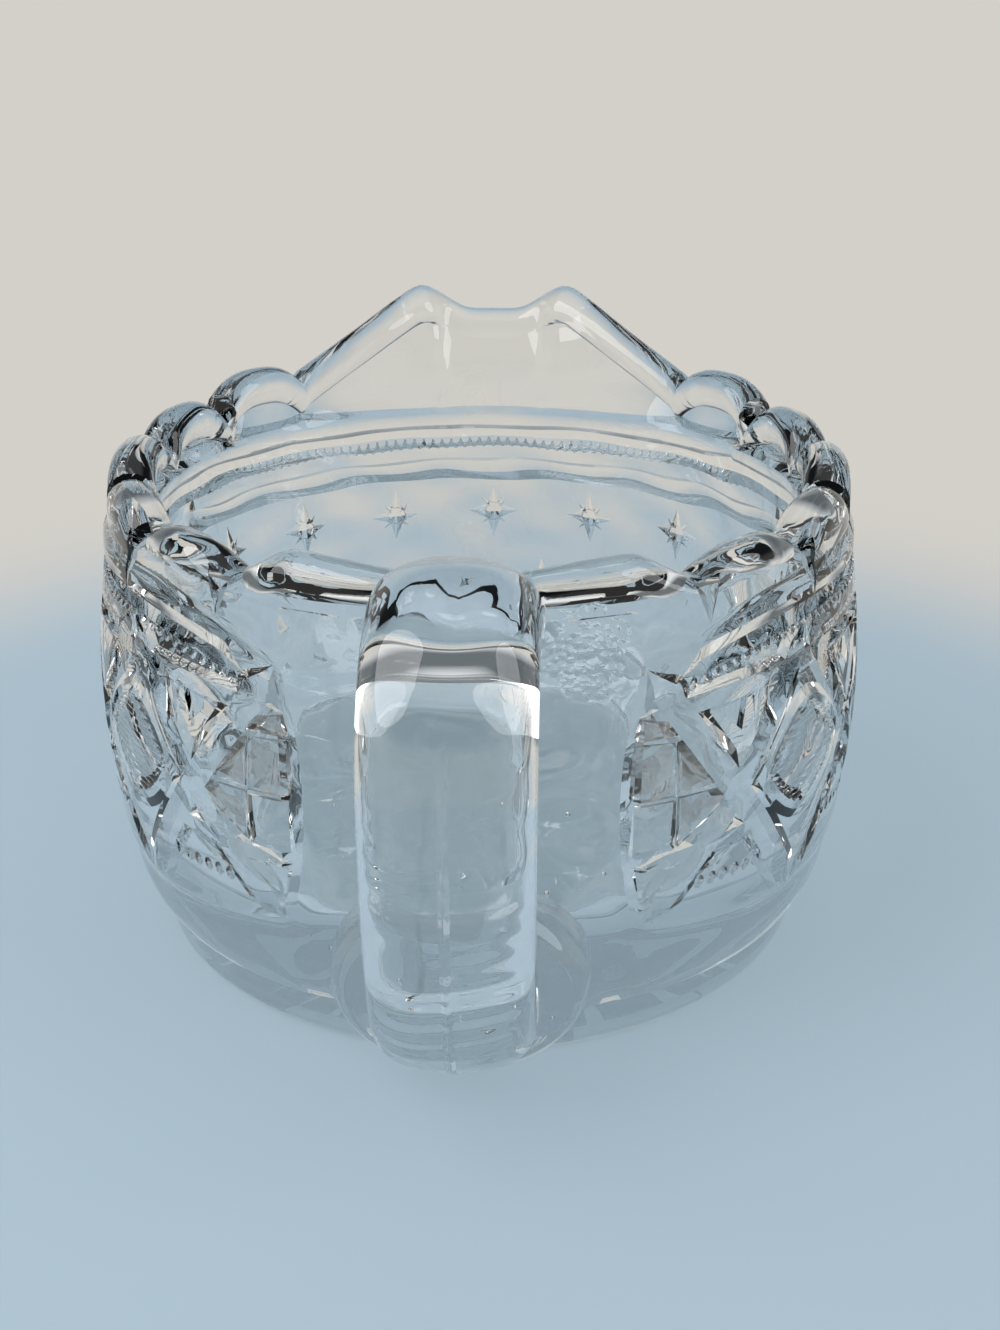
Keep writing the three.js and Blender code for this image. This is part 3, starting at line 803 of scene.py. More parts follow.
class GeometryTree:
    """A geometry tree with named inputs that works on one guide object."""

    def __init__(self, name: str, sizes: dict[str, float]) -> None:
        """Starts the tree.

        Args:
            name: Name of the tree.
            sizes: Named inputs with their values.
        """
        self.tree = bpy.data.node_groups.new(name, "GeometryNodeTree")
        self.sizes = sizes
        face = self.tree.interface
        for way in ("INPUT", "OUTPUT"):
            face.new_socket("Geometry", in_out=way, socket_type="NodeSocketGeometry")
        for label in sizes:
            face.new_socket(label, in_out="INPUT", socket_type="NodeSocketFloat")
        self.given = add_node(self.tree, "NodeGroupInput").outputs

    def add(self, kind: str, inputs: dict[Any, Any] | None = None, **settings: Any) -> bpy.types.Node:
        """Adds a node to the tree."""
        return add_node(self.tree, kind, inputs, **settings)

    def run(self, guide: bpy.types.Object, result: bpy.types.Node,
            material: bpy.types.Material) -> bpy.types.Object:
        """Ends the tree, runs it on a guide and leaves a plain mesh.

        Args:
            guide: The object that the tree reads.
            result: The node that gives the finished geometry.
            material: Material of the result.

        Returns:
            The guide object with the made mesh.
        """
        real = self.add("GeometryNodeRealizeInstances", {0: result})
        dressed = self.add("GeometryNodeSetMaterial", {0: real, "Material": material})
        self.add("NodeGroupOutput", {0: dressed})
        modifier = guide.modifiers.new(self.tree.name, "NODES")
        modifier.node_group = self.tree
        for item in self.tree.interface.items_tree:
            if item.item_type == "SOCKET" and item.in_out == "INPUT" and item.name in self.sizes:
                modifier[item.identifier] = float(self.sizes[item.name])
        evaluated_mesh(guide)
        return guide


@dataclass(frozen=True)
class Cut:
    """Size of a V cut: its width at the face, its depth, and how far its cutter stands proud."""

    width: float
    depth: float
    clearance: float = 0.9


@dataclass(frozen=True)
class Pattern:
    """The pressed pattern: mitres, bead rows, hatched lozenges and stars, drawn flat."""

    bowl: Bowl
    glass: bpy.types.Material
    front_angle: float = 71.0
    crosses: int = 3
    bold: Cut = Cut(3.0, 1.25)
    fine: Cut = Cut(1.7, 1.05)
    outline: Cut = Cut(0.9, 0.4)
    hatch: Cut = Cut(0.62, 0.3, 0.04)
    star_cut: Cut = Cut(1.0, 0.5)
    tail: Cut = Cut(2.0, 1.2)
    guide_step: float = 1.0
    least_steps: int = 4
    taper: float = 3.2
    lens_taper: float = 1.5
    hatch_taper: float = 0.5
    point_share: float = 0.03
    cutter_ridge: float = 0.3
    along_step: float = 4.0
    corner_overrun: float = 0.4
    level_overrun: float = 1.4
    inset_drop: float = 8.3
    inset_corner_lift: float = 4.0
    ledge_rise: float = 1.1
    ledge_margin: float = 6.0
    lower_inset: float = 25.4
    lower_corner_drop: float = 1.3
    lower_overrun: float = 1.8
    lower_gap: float = 8.0
    bead_drop: float = 4.4
    bead_corner_lift: float = 1.4
    bead_margin: float = 4.4
    low_bead_height: float = 20.6
    bead_pitch: float = 1.45
    bead_radius: float = 0.62
    bead_half_height: float = 0.85
    bead_flatness: float = 0.8
    ball_rounds: int = 2
    lens_height: float = 30.4
    lens_half_height: float = 6.2
    lens_half_width: float = 7.0
    lens_fullness: float = 1.5
    lens_points: int = 13
    hatch_pitch: float = 0.72
    hatch_tilt: float = -5.0
    hatch_reach: float = 0.97
    hatch_samples: int = 41
    hatch_margin: float = 0.25
    hatch_least: int = 5
    facet_rise: float = 0.9
    facet_depth: float = 0.8
    stars: int = 7
    star_rows: int = 2
    star_pitch: float = 20.0
    star_height: float = 34.5
    star_row_step: float = 11.0
    star_radius: float = 3.8
    star_turns: tuple[Pair, ...] = ((0.0, 1.0), (90.0, 1.0), (45.0, 0.7), (135.0, 0.7))
    tail_run: float = 4.2
    seed: int = 7
    seed_count: int = 26
    seed_sizes: Pair = (0.1, 0.3)
    seed_angles: Pair = (150.0, 210.0)
    seed_heights: Pair = (7.0, 34.0)
    seed_depths: Pair = (2.0, 5.0)

    def flat(self, angle: float, z: float) -> np.ndarray:
        """A place on the drawing for an angle and a height."""
        return np.array([math.radians(angle) * self.bowl.drawing_radius, z, 0.0])

    def strokes(self, name: str, lines: list[Line], cut: Cut, taper: float) -> bpy.types.Object:
        """Makes V cuts along lines of the drawing, run out to a point at both ends.

        Args:
            name: Name of the cuts.
            lines: Points of each line.
            cut: Width and depth.
            taper: Length over which a cut runs out at either end.

        Returns:
            The cutters, flat.
        """
        points, edges, radii = [], [], []
        for line in lines:
            corners = np.array(line)
            run = np.concatenate([[0], np.cumsum(np.linalg.norm(np.diff(corners, axis=0), axis=1))])
            length = float(run[-1])
            count = max(self.least_steps, round(length / self.guide_step))
            edges += [(len(points) + i, len(points) + i + 1) for i in range(count)]
            for i in range(count + 1):
                points.append([np.interp(i / count * length, run, corners[:, k]) for k in range(3)])
                near = min(i, count - i) / count * length
                radii.append(max(self.point_share, min(1.0, near / taper)))
        guide = mesh_object(name, points, edges=edges)
        guide.data.attributes.new("swell", "FLOAT", "POINT").data.foreach_set("value", radii)
        full = 1 + cut.clearance / cut.depth
        tree = GeometryTree(name, {"Width": cut.width * full * MM, "Depth": cut.depth * full * MM,
                                   "Clearance": cut.clearance * MM})
        swell = tree.add("GeometryNodeInputNamedAttribute", {"Name": "swell"}, data_type="FLOAT")
        line = tree.add("GeometryNodeMeshToCurve", {0: tree.given["Geometry"]})
        line = tree.add("GeometryNodeSetCurveNormal", {0: line}, mode="Z_UP")
        kite = tree.add("GeometryNodeCurvePrimitiveQuadrilateral",
                        {"Width": tree.given["Width"], "Bottom Height": tree.given["Depth"],
                         "Top Height": self.cutter_ridge * MM}, mode="KITE")
        lift = tree.add("ShaderNodeCombineXYZ", {1: tree.given["Clearance"]})
        kite = tree.add("GeometryNodeTransform", {0: kite, "Translation": lift})
        solid = tree.add("GeometryNodeCurveToMesh",
                         {"Curve": line, "Profile Curve": kite, "Scale": swell, "Fill Caps": True})
        return tree.run(guide, solid, self.glass)

    def beads(self, name: str, lines: list[Line]) -> bpy.types.Object:
        """Makes a row of small oval pits along each line.

        Args:
            name: Name of the pits.
            lines: Points of each row.

        Returns:
            The cutters, flat.
        """
        points, edges = [], []
        for line in lines:
            edges += [(len(points) + i, len(points) + i + 1) for i in range(len(line) - 1)]
            points += list(line)
        guide = mesh_object(name, points, edges=edges)
        tree = GeometryTree(name, {"Pitch": self.bead_pitch * MM, "Radius": self.bead_radius * MM,
                                   "Slenderness": self.bead_half_height / self.bead_radius})
        line = tree.add("GeometryNodeMeshToCurve", {0: tree.given["Geometry"]})
        places = tree.add("GeometryNodeCurveToPoints", {"Curve": line, "Length": tree.given["Pitch"]},
                          mode="LENGTH")
        ball = tree.add("GeometryNodeMeshIcoSphere",
                        {"Radius": tree.given["Radius"], "Subdivisions": self.ball_rounds})
        tall = tree.add("ShaderNodeCombineXYZ",
                        {0: 1.0, 1: tree.given["Slenderness"], 2: self.bead_flatness})
        row = tree.add("GeometryNodeInstanceOnPoints", {"Points": places, "Instance": ball, "Scale": tall})
        return tree.run(guide, row, self.glass)

    def seeds(self, name: str) -> bpy.types.Object:
        """Makes the tiny bubbles that were trapped in the thick lower wall and the floor.

        Args:
            name: Name of the bubbles.

        Returns:
            The bubbles, in place.
        """
        chance = np.random.default_rng(self.seed)
        turn = np.radians(chance.uniform(*self.seed_angles, self.seed_count))
        height = chance.uniform(*self.seed_heights, self.seed_count)
        radius = self.bowl.wall_radius(height) - chance.uniform(*self.seed_depths, self.seed_count)
        guide = mesh_object(name, place_round(radius, turn, height))
        tree = GeometryTree(name, {"Min": self.seed_sizes[0] * MM, "Max": self.seed_sizes[1] * MM})
        ball = tree.add("GeometryNodeMeshIcoSphere", {"Radius": 1.0, "Subdivisions": self.ball_rounds})
        size = tree.add("FunctionNodeRandomValue", {"Seed": self.seed}, data_type="FLOAT")
        for socket in size.inputs:
            if socket.type == "VALUE" and socket.name in tree.sizes:
                tree.tree.links.new(tree.given[socket.name], socket)
        drawn = next(socket for socket in size.outputs if socket.type == "VALUE")
        swarm = tree.add("GeometryNodeInstanceOnPoints",
                         {"Points": tree.given["Geometry"], "Instance": ball, "Scale": drawn})
        return tree.run(guide, swarm, self.glass)

    def tails(self, rim: Rim) -> list[Line]:
        """Wedge cuts that run down the wall from each notch of the rim.

        Args:
            rim: The rim that has the notches.

        Returns:
            A line for each notch on both sides.
        """
        made = []
        for notch in rim.notches():
            top = self.bowl.body_top + rim.sharp_rise(notch)
            for side in (1.0, -1.0):
                made.append(self.line(side, (notch, top + self.tail.clearance + self.tail_run),
                                      (notch, top - self.tail_run)))
        return made

    def units(self) -> list[Place]:
        """Side, near angle and far angle of each square of the side panels.

        Returns:
            One entry for each square, from the handle towards the spout, first on the right.
        """
        span = (self.bowl.panel_near_angle - self.front_angle) / self.crosses
        starts = [self.bowl.panel_near_angle - i * span for i in range(self.crosses)]
        return [(side, near, near - span) for side in (1.0, -1.0) for near in starts]

    def edge_heights(self, angle: float) -> Pair:
        """Heights of a panel's lower and upper edge at an angle."""
        return self.bowl.low_edge(angle), self.bowl.high_edge(angle)

    def line(self, side: float, start: Pair, end: Pair) -> Line:
        """A line on one side of the jug, from angle and height to angle and height."""
        return self.flat(side * start[0], start[1]), self.flat(side * end[0], end[1])

    def top_of(self, angle: float) -> float:
        """Height at which a diagonal ends: the corner near the handle, else the row of beads.

        Args:
            angle: Angle from the spout.

        Returns:
            The height.
        """
        if angle >= self.bowl.panel_near_angle:
            return self.edge_heights(angle)[1] + self.corner_overrun
        return self.bead_line(angle)

    def bead_line(self, angle: float) -> float:
        """Height of the row of beads, which follows the upper edge."""
        lift = self.bead_corner_lift * self.bowl.corner_share(angle)
        return self.edge_heights(angle)[1] - self.bead_drop + lift

    def inset_line(self, angle: float) -> float:
        """Height of the level line under the beads, which dips less than the upper edge."""
        lift = self.inset_corner_lift * self.bowl.corner_share(angle)
        return self.edge_heights(angle)[1] - self.inset_drop + lift

    def lower_line(self, angle: float) -> float:
        """Height of the lower level line."""
        return self.lower_inset - self.lower_corner_drop * self.bowl.corner_share(angle)

    def falling(self) -> list[Line]:
        """Bold diagonals that fall from the upper corner near the handle."""
        return [self.line(side, (near, self.top_of(near)), (far, self.edge_heights(far)[0]))
                for side, near, far in self.units()]

    def rising(self) -> list[Line]:
        """Bold diagonals that rise from the lower corner near the handle."""
        return [self.line(side, (near, self.edge_heights(near)[0]), (far, self.top_of(far)))
                for side, near, far in self.units()]

    def along(self, start: float, end: float, height: Callable[[float], float]) -> Line:
        """A line from angle to angle that follows a height.

        Args:
            start: Angle of its first point.
            end: Angle of its last point.
            height: Gives the height at an angle.

        Returns:
            The line's points.
        """
        count = max(2, round(abs(end - start) / self.along_step))
        return [self.flat(angle, height(angle)) for angle in np.linspace(start, end, count + 1)]

    def levels(self) -> list[Line]:
        """The level line right round the panels and the short ones across each lower triangle.

        Returns:
            The level line, the ledge over the beads and the short lines.
        """
        end, ledge_end = (self.bowl.panel_near_angle + self.level_overrun - less
                          for less in (0.0, self.ledge_margin))
        made = [self.along(-end, end, self.inset_line),
                self.along(-ledge_end, ledge_end, lambda angle: self.bead_line(angle) + self.ledge_rise)]
        for side, near, far in self.units():
            beside_plain = near == self.bowl.panel_near_angle
            first = near + self.lower_overrun if beside_plain else near - self.lower_gap
            made.append(self.along(side * first, side * (far + self.lower_gap), self.lower_line))
        return made

    def lens_edge(self, across: Numbers) -> Numbers:
        """Half the height of a lens, at a share of its half width."""
        return self.lens_half_height * (1 - abs(across) ** self.lens_fullness) ** (1 / self.lens_fullness)

    def lens_middles(self) -> list[tuple[float, np.ndarray]]:
        """Side and middle of each lens, one where two squares meet."""
        return [(side, self.flat(side * far, self.lens_height)) for side, near, far in self.units()]

    def outlines(self) -> list[Line]:
        """Fine cuts round each hatched lens."""
        shares = np.sin(np.linspace(-math.pi / 2, math.pi / 2, self.lens_points))
        return [[middle + np.array([share * self.lens_half_width, up * self.lens_edge(share), 0.0])
                 for share in shares]
                for side, middle in self.lens_middles() for up in (1.0, -1.0)]

    def hatching(self) -> list[Line]:
        """Fine parallel lines that fill the lens in each lozenge.

        Returns:
            Two points for each line.
        """
        made = []
        slope = math.tan(math.radians(self.hatch_tilt))
        shares = np.linspace(-self.hatch_reach, self.hatch_reach, self.hatch_samples)
        edge = self.lens_edge(shares)
        across = shares * self.lens_half_width
        count = int(self.lens_half_height / self.hatch_pitch)
        for side, middle in self.lens_middles():
            for i in range(-count, count + 1):
                up = i * self.hatch_pitch + side * slope * across
                inside = across[np.abs(up) < edge - self.hatch_margin]
                if len(inside) >= self.hatch_least:
                    made.append([middle + np.array([x, i * self.hatch_pitch + side * slope * x, 0.0])
                                 for x in (inside[0], inside[-1])])
        return made

    def facet_shapes(self) -> list[tuple[bool, tuple[Pair, ...]]]:
        """Small ground faces of one square, as angles from its near edge and heights.

        Returns:
            For each face, whether only the square beside the plain wall has it, and its corners,
            the first of which is left at full height.
        """
        return [
            (True, ((2.9, 40.0), (-0.9, 39.9), (-1.6, 37.7), (5.2, 37.7))),
            (True, ((3.4, 37.1), (-1.8, 37.2), (-2.3, 31.6), (3.4, 31.5))),
            (True, ((9.4, 31.9), (6.0, 36.6), (3.9, 37.0), (3.9, 31.8))),
            (True, ((-2.3, 31.1), (3.4, 31.0), (3.4, 25.6), (-2.1, 25.2))),
            (True, ((11.2, 29.8), (9.8, 31.2), (3.9, 31.2), (3.9, 25.8))),
            (True, ((-0.6, 19.2), (-1.7, 23.6), (4.6, 23.4))),
            (False, ((10.9, 40.0), (15.0, 40.2), (13.8, 36.6), (11.2, 38.4))),
            (False, ((16.2, 35.6), (16.2, 40.2), (21.4, 40.0))),
            (False, ((13.4, 24.2), (8.0, 22.0), (10.8, 22.0))),
            (False, ((14.8, 24.2), (17.4, 22.0), (20.2, 22.0))),
        ]

    def facets(self, name: str) -> bpy.types.Object:
        """Makes the tilted cutters of the small ground faces.

        Args:
            name: Name of the cutters.

        Returns:
            The cutters, flat.
        """
        points, faces = [], []
        for side, near, far in self.units():
            for first_only, corners in self.facet_shapes():
                if first_only and near != self.bowl.panel_near_angle:
                    continue
                places = np.array([self.flat(side * (near - away), z) for away, z in corners])
                reach = np.linalg.norm(places - places[0], axis=1)
                depth = self.facet_depth * reach / reach.max()
                first, count = len(points), len(places)
                points += [place + [0, 0, self.facet_rise] for place in places]
                points += [place - [0, 0, down] for place, down in zip(places, depth)]
                top, bottom = range(first, first + count), range(first + count, first + 2 * count)
                skin = [list(top), list(bottom)[::-1]]
                skin += [[top[k], bottom[k], bottom[(k + 1) % count], top[(k + 1) % count]]
                         for k in range(count)]
                faces += [face[::-1] for face in skin] if side > 0 else skin
        return mesh_object(name, points, faces)

    def star_strokes(self, turn: float, reach: float) -> list[Line]:
        """One stroke of each small star under the spout.

        Args:
            turn: Direction of the stroke, in degrees from upright.
            reach: Its share of the star's radius.

        Returns:
            A line for each star.
        """
        made = []
        way = np.array([math.sin(math.radians(turn)), math.cos(math.radians(turn)), 0.0])
        half = way * self.star_radius * reach
        for row in range(self.star_rows):
            count = self.stars - row
            for i in range(count):
                angle = (i - (count - 1) / 2) * self.star_pitch
                middle = self.flat(angle, self.star_height - row * self.star_row_step)
                made.append((middle - half, middle + half))
        return made

    def bead_lines(self) -> list[Line]:
        """The row of beads under the upper edge, and short rows over the lower edge.

        Returns:
            A line for each row.
        """
        end = self.bowl.panel_near_angle - self.bead_margin
        low, gap = self.low_bead_height, self.lower_gap
        return [self.along(-end, end, self.bead_line)] + [
            self.line(side, (near - gap, low), (far + gap, low)) for side, near, far in self.units()]

    def carve(self, body: bpy.types.Object) -> None:
        """Cuts the whole pattern out of the body.

        Args:
            body: The jug's closed surface.
        """
        families = [
            ("falling_mitres", self.falling(), self.bold, self.taper),
            ("rising_mitres", self.rising(), self.bold, self.taper),
            ("level_lines", self.levels(), self.fine, self.taper),
            ("lens_outlines", self.outlines(), self.outline, self.lens_taper),
            ("hatching", self.hatching(), self.hatch, self.hatch_taper),
            ("notch_tails", self.tails(Rim(self.bowl)), self.tail, self.tail_run),
        ]
        families += [(f"star_{turn:.0f}", self.star_strokes(turn, reach), self.star_cut, self.star_radius)
                     for turn, reach in self.star_turns]
        cutters = [(name, self.strokes(name, lines, cut, taper)) for name, lines, cut, taper in families]
        cutters.append(("facets", self.facets("facets")))
        cutters.append(("beads", self.beads("beads", self.bead_lines())))
        for name, cutter in cutters:
            self.bowl.wrap(cutter)
        cutters.append(("seeds", self.seeds("seeds")))
        for name, cutter in cutters:
            work(body, cutter, Join.CUT)
            log.info("%s cut, body now %d faces", name, len(body.data.polygons))


@dataclass(frozen=True)
class PressedGlass:
    """Soda-lime glass pressed in an iron mould and fire polished."""

    tint: str = "#fafbfb"
    shadow_tint: str = "#eff1f1"
    ior: float = 1.52
    ripple_size: float = 8.0
    ripple_depth: float = 0.3
    ripple_flatness: float = 1.7
    patch_place: Place = (12.0, -42.0, 46.5)
    patch_reach: float = 9.0
    patch_edge: Pair = (1.1, 0.95)
    rag_size: float = 3.0
    blister_size: float = 0.9
    blister_depth: float = 0.12
    rub_height: float = 0.7
    rub_grain: float = 0.5
    rub_roughness: float = 0.3

    def skin(self, tree: bpy.types.NodeTree, place: bpy.types.NodeSocket) -> bpy.types.Node:
        """Relief of the surface, too fine to model.

        Args:
            tree: The material's tree.
            place: Socket of the place on the piece.

        Returns:
            The node that gives the bent normal.
        """
        # The mould chills the skin of the glass into long low ripples. Fire polishing rounds them but
        # leaves them there, and they make what shows through the wall sway.
        level = add_node(tree, "ShaderNodeMapping",
                         {"Vector": place, "Scale": (1.0, 1.0, self.ripple_flatness)})
        ripples = add_node(tree, "ShaderNodeTexNoise",
                           {"Vector": level, "Scale": 1 / (self.ripple_size * MM), "Detail": 0.0})
        low = add_node(tree, "ShaderNodeBump", {"Height": ripples, "Distance": self.ripple_depth * MM})
        # A ragged patch of blisters, where gas was caught in the skin, glitters beside the handle.
        reach = self.patch_reach * MM
        rags = add_node(tree, "ShaderNodeTexNoise",
                        {"Vector": place, "Scale": 1 / (self.rag_size * MM), "Detail": 2.0})
        away = add_node(tree, "ShaderNodeVectorMath", {0: place, 1: Vector(self.patch_place) * MM},
                        operation="DISTANCE")
        ragged = add_node(tree, "ShaderNodeMath", {0: rags, 1: reach, 2: away.outputs["Value"]},
                          operation="MULTIPLY_ADD")
        inside = add_node(tree, "ShaderNodeMapRange",
                          {"Value": ragged, "From Min": self.patch_edge[0] * reach,
                           "From Max": self.patch_edge[1] * reach}, interpolation_type="SMOOTHSTEP")
        blisters = add_node(tree, "ShaderNodeTexVoronoi",
                            {"Vector": place, "Scale": 1 / (self.blister_size * MM)}, feature="F1")
        height = add_node(tree, "ShaderNodeMath", {0: inside, 1: blisters}, operation="MULTIPLY")
        return add_node(tree, "ShaderNodeBump",
                        {"Height": height, "Distance": self.blister_depth * MM, "Normal": low})

    def rubbing(self, tree: bpy.types.NodeTree, place: bpy.types.NodeSocket) -> bpy.types.Node:
        """Roughness, which is none but where the foot has rubbed on tables.

        Args:
            tree: The material's tree.
            place: Socket of the place on the piece.

        Returns:
            The node that gives the roughness.
        """
        height = add_node(tree, "ShaderNodeSeparateXYZ", {0: place})
        low = add_node(tree, "ShaderNodeMapRange",
                       {"Value": height.outputs["Z"], "From Min": self.rub_height * MM, "From Max": 0.0,
                        "To Max": self.rub_roughness}, interpolation_type="SMOOTHSTEP")
        grain = add_node(tree, "ShaderNodeTexNoise",
                         {"Vector": place, "Scale": 1 / (self.rub_grain * MM), "Detail": 0.0})
        return add_node(tree, "ShaderNodeMath", {0: low, 1: grain}, operation="MULTIPLY")

    def material(self) -> bpy.types.Material:
        """Makes the material.

        Returns:
            Clear glass with a faint grey tint.
        """
        # Pressed glass is colourless with a trace of grey from the iron in its sand, and so clear that
        # the eye reads its form from bent light alone: pale faces, and dark lines at every edge.
        made = bpy.data.materials.new("soda_lime_glass_pressed")
        made.use_nodes = True
        tree = made.node_tree
        tree.nodes.clear()
        place = add_node(tree, "ShaderNodeTexCoord").outputs["Object"]
        glass = add_node(tree, "ShaderNodeBsdfPrincipled", {
            "Base Color": linear(self.tint), "Roughness": self.rubbing(tree, place), "IOR": self.ior,
            "Transmission Weight": 1.0, "Normal": self.skin(tree, place),
        })
        # Light that falls through the glass on the floor goes straight on, so its shadow stays pale.
        clear = add_node(tree, "ShaderNodeBsdfTransparent", {"Color": linear(self.shadow_tint)})
        path = add_node(tree, "ShaderNodeLightPath").outputs
        unbent = add_node(tree, "ShaderNodeMath", {0: path["Is Shadow Ray"], 1: path["Is Diffuse Ray"]},
                          operation="MAXIMUM")
        both = add_node(tree, "ShaderNodeMixShader", {0: unbent, 1: glass, 2: clear})
        add_node(tree, "ShaderNodeOutputMaterial", {"Surface": both})
        return made


@dataclass(frozen=True)
class Lamp:
    """A round soft lamp: its place, width, height and power in watts."""

    name: str
    place: Place
    size: Pair
    power: float


@dataclass(frozen=True)
class Studio:
    """Pale floor and backdrop, soft lamps and the camera at the photograph's angle."""

    floor_tone: str = "#a9bcc9"
    far_tone: str = "#d3d0c9"
    card_roughness: float = 0.9
    near_reach: float = 95.0
    far_reach: float = 190.0
    floor_rings: tuple[float, ...] = (60.0, 200.0, 450.0, 900.0)
    sweep_height: float = 500.0
    sweep_steps: int = 12
    floor_sides: int = 96
    sky: tuple[tuple[float, str], ...] = (
        (0.0, "#c9cccd"), (0.3, "#c9cccd"), (0.45, "#5d6468"), (0.72, "#5d6468"), (0.88, "#eceff0"),
    )
    lamps: tuple[Lamp, ...] = (
        Lamp("key", (-420, -180, 520), (620, 620), 3.2),
        Lamp("fill", (500, -150, 420), (420, 560), 1.6),
    )
    aim: Place = (0, 0, 30)
    camera_place: Place = (8.36, -169.19, 101.4)
    camera_pitch: float = 66.56
    camera_turn: float = 2.01
    focal_length: float = 40.33
    sensor: float = 36.0
    clip: Pair = (0.005, 20)

    def camera(self) -> None:
        """Makes the camera."""
        data = bpy.data.cameras.new("camera")
        data.lens, data.sensor_width = self.focal_length, self.sensor
        data.clip_start, data.clip_end = self.clip
        made = bpy.data.objects.new("camera", data)
        made.location = Vector(self.camera_place) * MM
        made.rotation_euler = (math.radians(self.camera_pitch), 0, math.radians(self.camera_turn))
        bpy.context.scene.collection.objects.link(made)
        bpy.context.scene.camera = made

    def card(self) -> bpy.types.Material:
        """Makes the floor's material.

        Returns:
            Matt card, blue grey under the jug and a warm pale grey further out.
        """
        # Card has no gloss, so it lies as one soft tone under the glass. Seen straight, mirrored or
        # through the glass, its far part keeps its own tone, whatever light reaches it.
        made = bpy.data.materials.new("matt_card")
        made.use_nodes = True
        tree = made.node_tree
        tree.nodes.clear()
        place = add_node(tree, "ShaderNodeTexCoord").outputs["Object"]
        reach = add_node(tree, "ShaderNodeVectorMath", {0: place}, operation="LENGTH")
        far = add_node(tree, "ShaderNodeMapRange",
                       {"Value": reach.outputs["Value"], "From Min": self.near_reach * MM,
                        "From Max": self.far_reach * MM}, interpolation_type="SMOOTHSTEP")
        tone = add_node(tree, "ShaderNodeMix", {0: far, 6: linear(self.floor_tone), 7: linear(self.far_tone)},
                        data_type="RGBA")
        card = add_node(tree, "ShaderNodeBsdfPrincipled",
                        {"Base Color": tone.outputs[2], "Roughness": self.card_roughness})
        plain = add_node(tree, "ShaderNodeEmission", {"Color": linear(self.far_tone)})
        path = add_node(tree, "ShaderNodeLightPath").outputs
        seen = path["Is Camera Ray"]
        for ray in ("Is Glossy Ray", "Is Transmission Ray"):
            seen = add_node(tree, "ShaderNodeMath", {0: seen, 1: path[ray]}, operation="MAXIMUM")
        share = add_node(tree, "ShaderNodeMath", {0: seen, 1: far}, operation="MULTIPLY")
        shader = add_node(tree, "ShaderNodeMixShader", {0: share, 1: card, 2: plain})
        add_node(tree, "ShaderNodeOutputMaterial", {"Surface": shader})
        return made

    def floor(self) -> None:
        """Makes the floor, which sweeps up into a round backdrop far out."""
        bend, height = quarter(self.sweep_steps), self.sweep_height
        radius = np.concatenate([self.floor_rings, self.floor_rings[-1] + height * np.sin(bend)])
        rise = np.concatenate([np.zeros(len(self.floor_rings)), height * (1 - np.cos(bend))])
        rings = place_round(radius[:, None], full_turn(self.floor_sides), rise[:, None])
        count = self.floor_sides
        middle = [[0, 1 + (k + 1) % count, 1 + k] for k in range(count)]
        floor = mesh_object("floor", np.concatenate([[[0, 0, 0]], rings.reshape(-1, 3)]),
                            middle + band_faces(len(radius), count, 1))
        floor.data.shade_smooth()
        floor.data.materials.append(self.card())

    def hang(self, lamp: Lamp) -> None:
        """Makes a lamp that faces the jug.

        Args:
            lamp: The lamp to hang.
        """
        data = bpy.data.lights.new(lamp.name, "AREA")
        data.shape = "ELLIPSE"
        data.size, data.size_y = lamp.size[0] * MM, lamp.size[1] * MM
        data.energy = lamp.power
        made = bpy.data.objects.new(lamp.name, data)
        made.location = Vector(lamp.place) * MM
        made.rotation_euler = (Vector(self.aim) * MM - made.location).to_track_quat("-Z", "Y").to_euler()
        bpy.context.scene.collection.objects.link(made)

    def world(self) -> None:
        """Makes the room's light: a pale sky over a darker band, all the way round."""
        world = bpy.data.worlds.new("studio")
        bpy.context.scene.world = world
        world.use_nodes = True
        tree = world.node_tree
        tree.nodes.clear()
        place = add_node(tree, "ShaderNodeTexCoord")
        height = add_node(tree, "ShaderNodeSeparateXYZ", {0: place.outputs["Generated"]})
        ramp = add_node(tree, "ShaderNodeValToRGB", {0: height.outputs["Z"]})
        stops = ramp.color_ramp.elements
        while len(stops) < len(self.sky):
            stops.new(1.0)
        for stop, (share, tone) in zip(stops, self.sky):
            stop.position, stop.color = share, linear(tone)
        back = add_node(tree, "ShaderNodeBackground", {"Color": ramp})
        add_node(tree, "ShaderNodeOutputWorld", {"Surface": back})

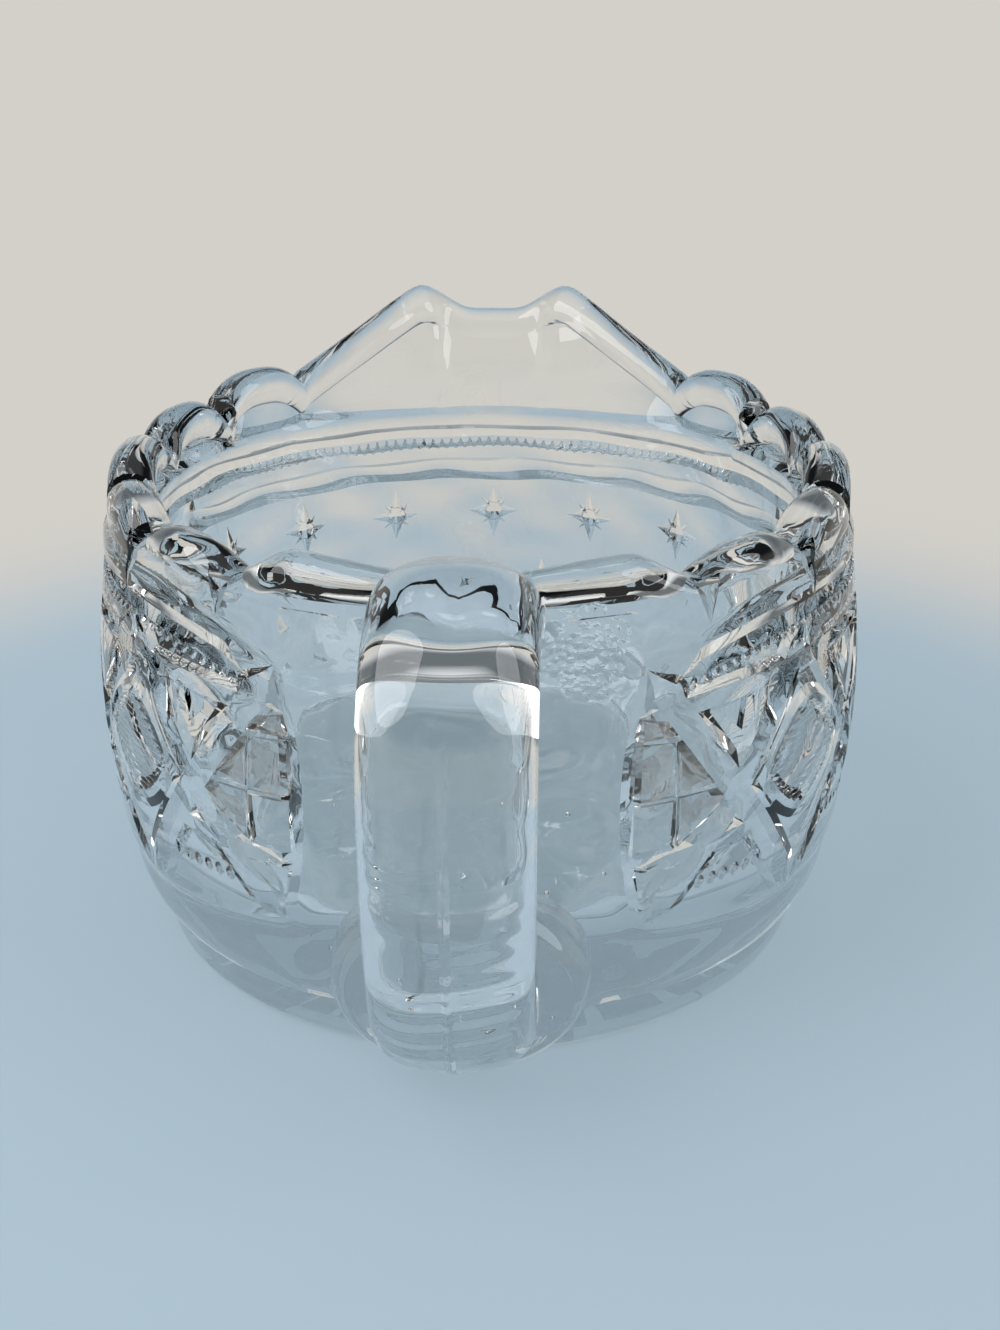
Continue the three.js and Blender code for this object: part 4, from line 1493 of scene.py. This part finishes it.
    def build(self) -> None:
        """Makes camera, floor, lamps and world."""
        self.camera()
        self.floor()
        for lamp in self.lamps:
            self.hang(lamp)
        self.world()


@dataclass
class PressedJug:
    """The whole jug, worked into one closed piece of glass."""

    bowl: Bowl = field(default_factory=Bowl)
    sharp_angle: float = 24.0
    room_sides: int = 96
    room_rows: int = 12
    room_lift: float = 1.0
    room_gap: float = 0.05

    def build(self, glass: bpy.types.Material) -> bpy.types.Object:
        """Builds the jug.

        Args:
            glass: Its material.

        Returns:
            The finished piece.
        """
        bowl = self.bowl
        body = TurnedBody(bowl, Rim(bowl)).build()
        handle = Handle(bowl)
        hollow = self.inner_solid()
        for solid in (handle.bar(), handle.pad()):
            work(body, solid, Join.FUSE)
        work(body, hollow, Join.CUT)
        log.info("body with handle: %d faces", len(body.data.polygons))
        Pattern(bowl, glass).carve(body)
        body.data.materials.clear()
        body.data.materials.append(glass)
        body.data.shade_smooth()
        body.data.set_sharp_from_angle(angle=math.radians(self.sharp_angle))
        return body

    def inner_solid(self) -> bpy.types.Object:
        """Room inside the bowl, which keeps the handle's root out of it.

        Returns:
            The room as a closed solid.
        """
        bowl, rim, gap = self.bowl, Rim(self.bowl), self.room_gap
        heights = np.linspace(bowl.floor_top + bowl.floor_rounding + self.room_lift, bowl.body_top,
                              self.room_rows)
        radii = bowl.inner_radius(heights) - bowl.wave_depth - gap
        heights = np.append(heights, bowl.body_top + np.array([gap, rim.horn_rise, 2 * rim.horn_rise]))
        radii = np.append(radii, np.array([bowl.neck_radius, rim.radius, rim.radius]) - rim.bead - gap)
        return loft("room_inside", place_round(radii[:, None], full_turn(self.room_sides), heights[:, None]))


def main() -> None:
    """Builds the jug and its studio and reports each piece."""
    bpy.context.scene.view_settings.view_transform = "Standard"
    glass = PressedGlass().material()
    jug = PressedJug().build(glass)
    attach(jug, BODY)
    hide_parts(*CAD_NODES)
    log.info("%s: %d faces", jug.name, len(jug.data.polygons))
    Studio().build()


if __name__ == "__main__":
    main()
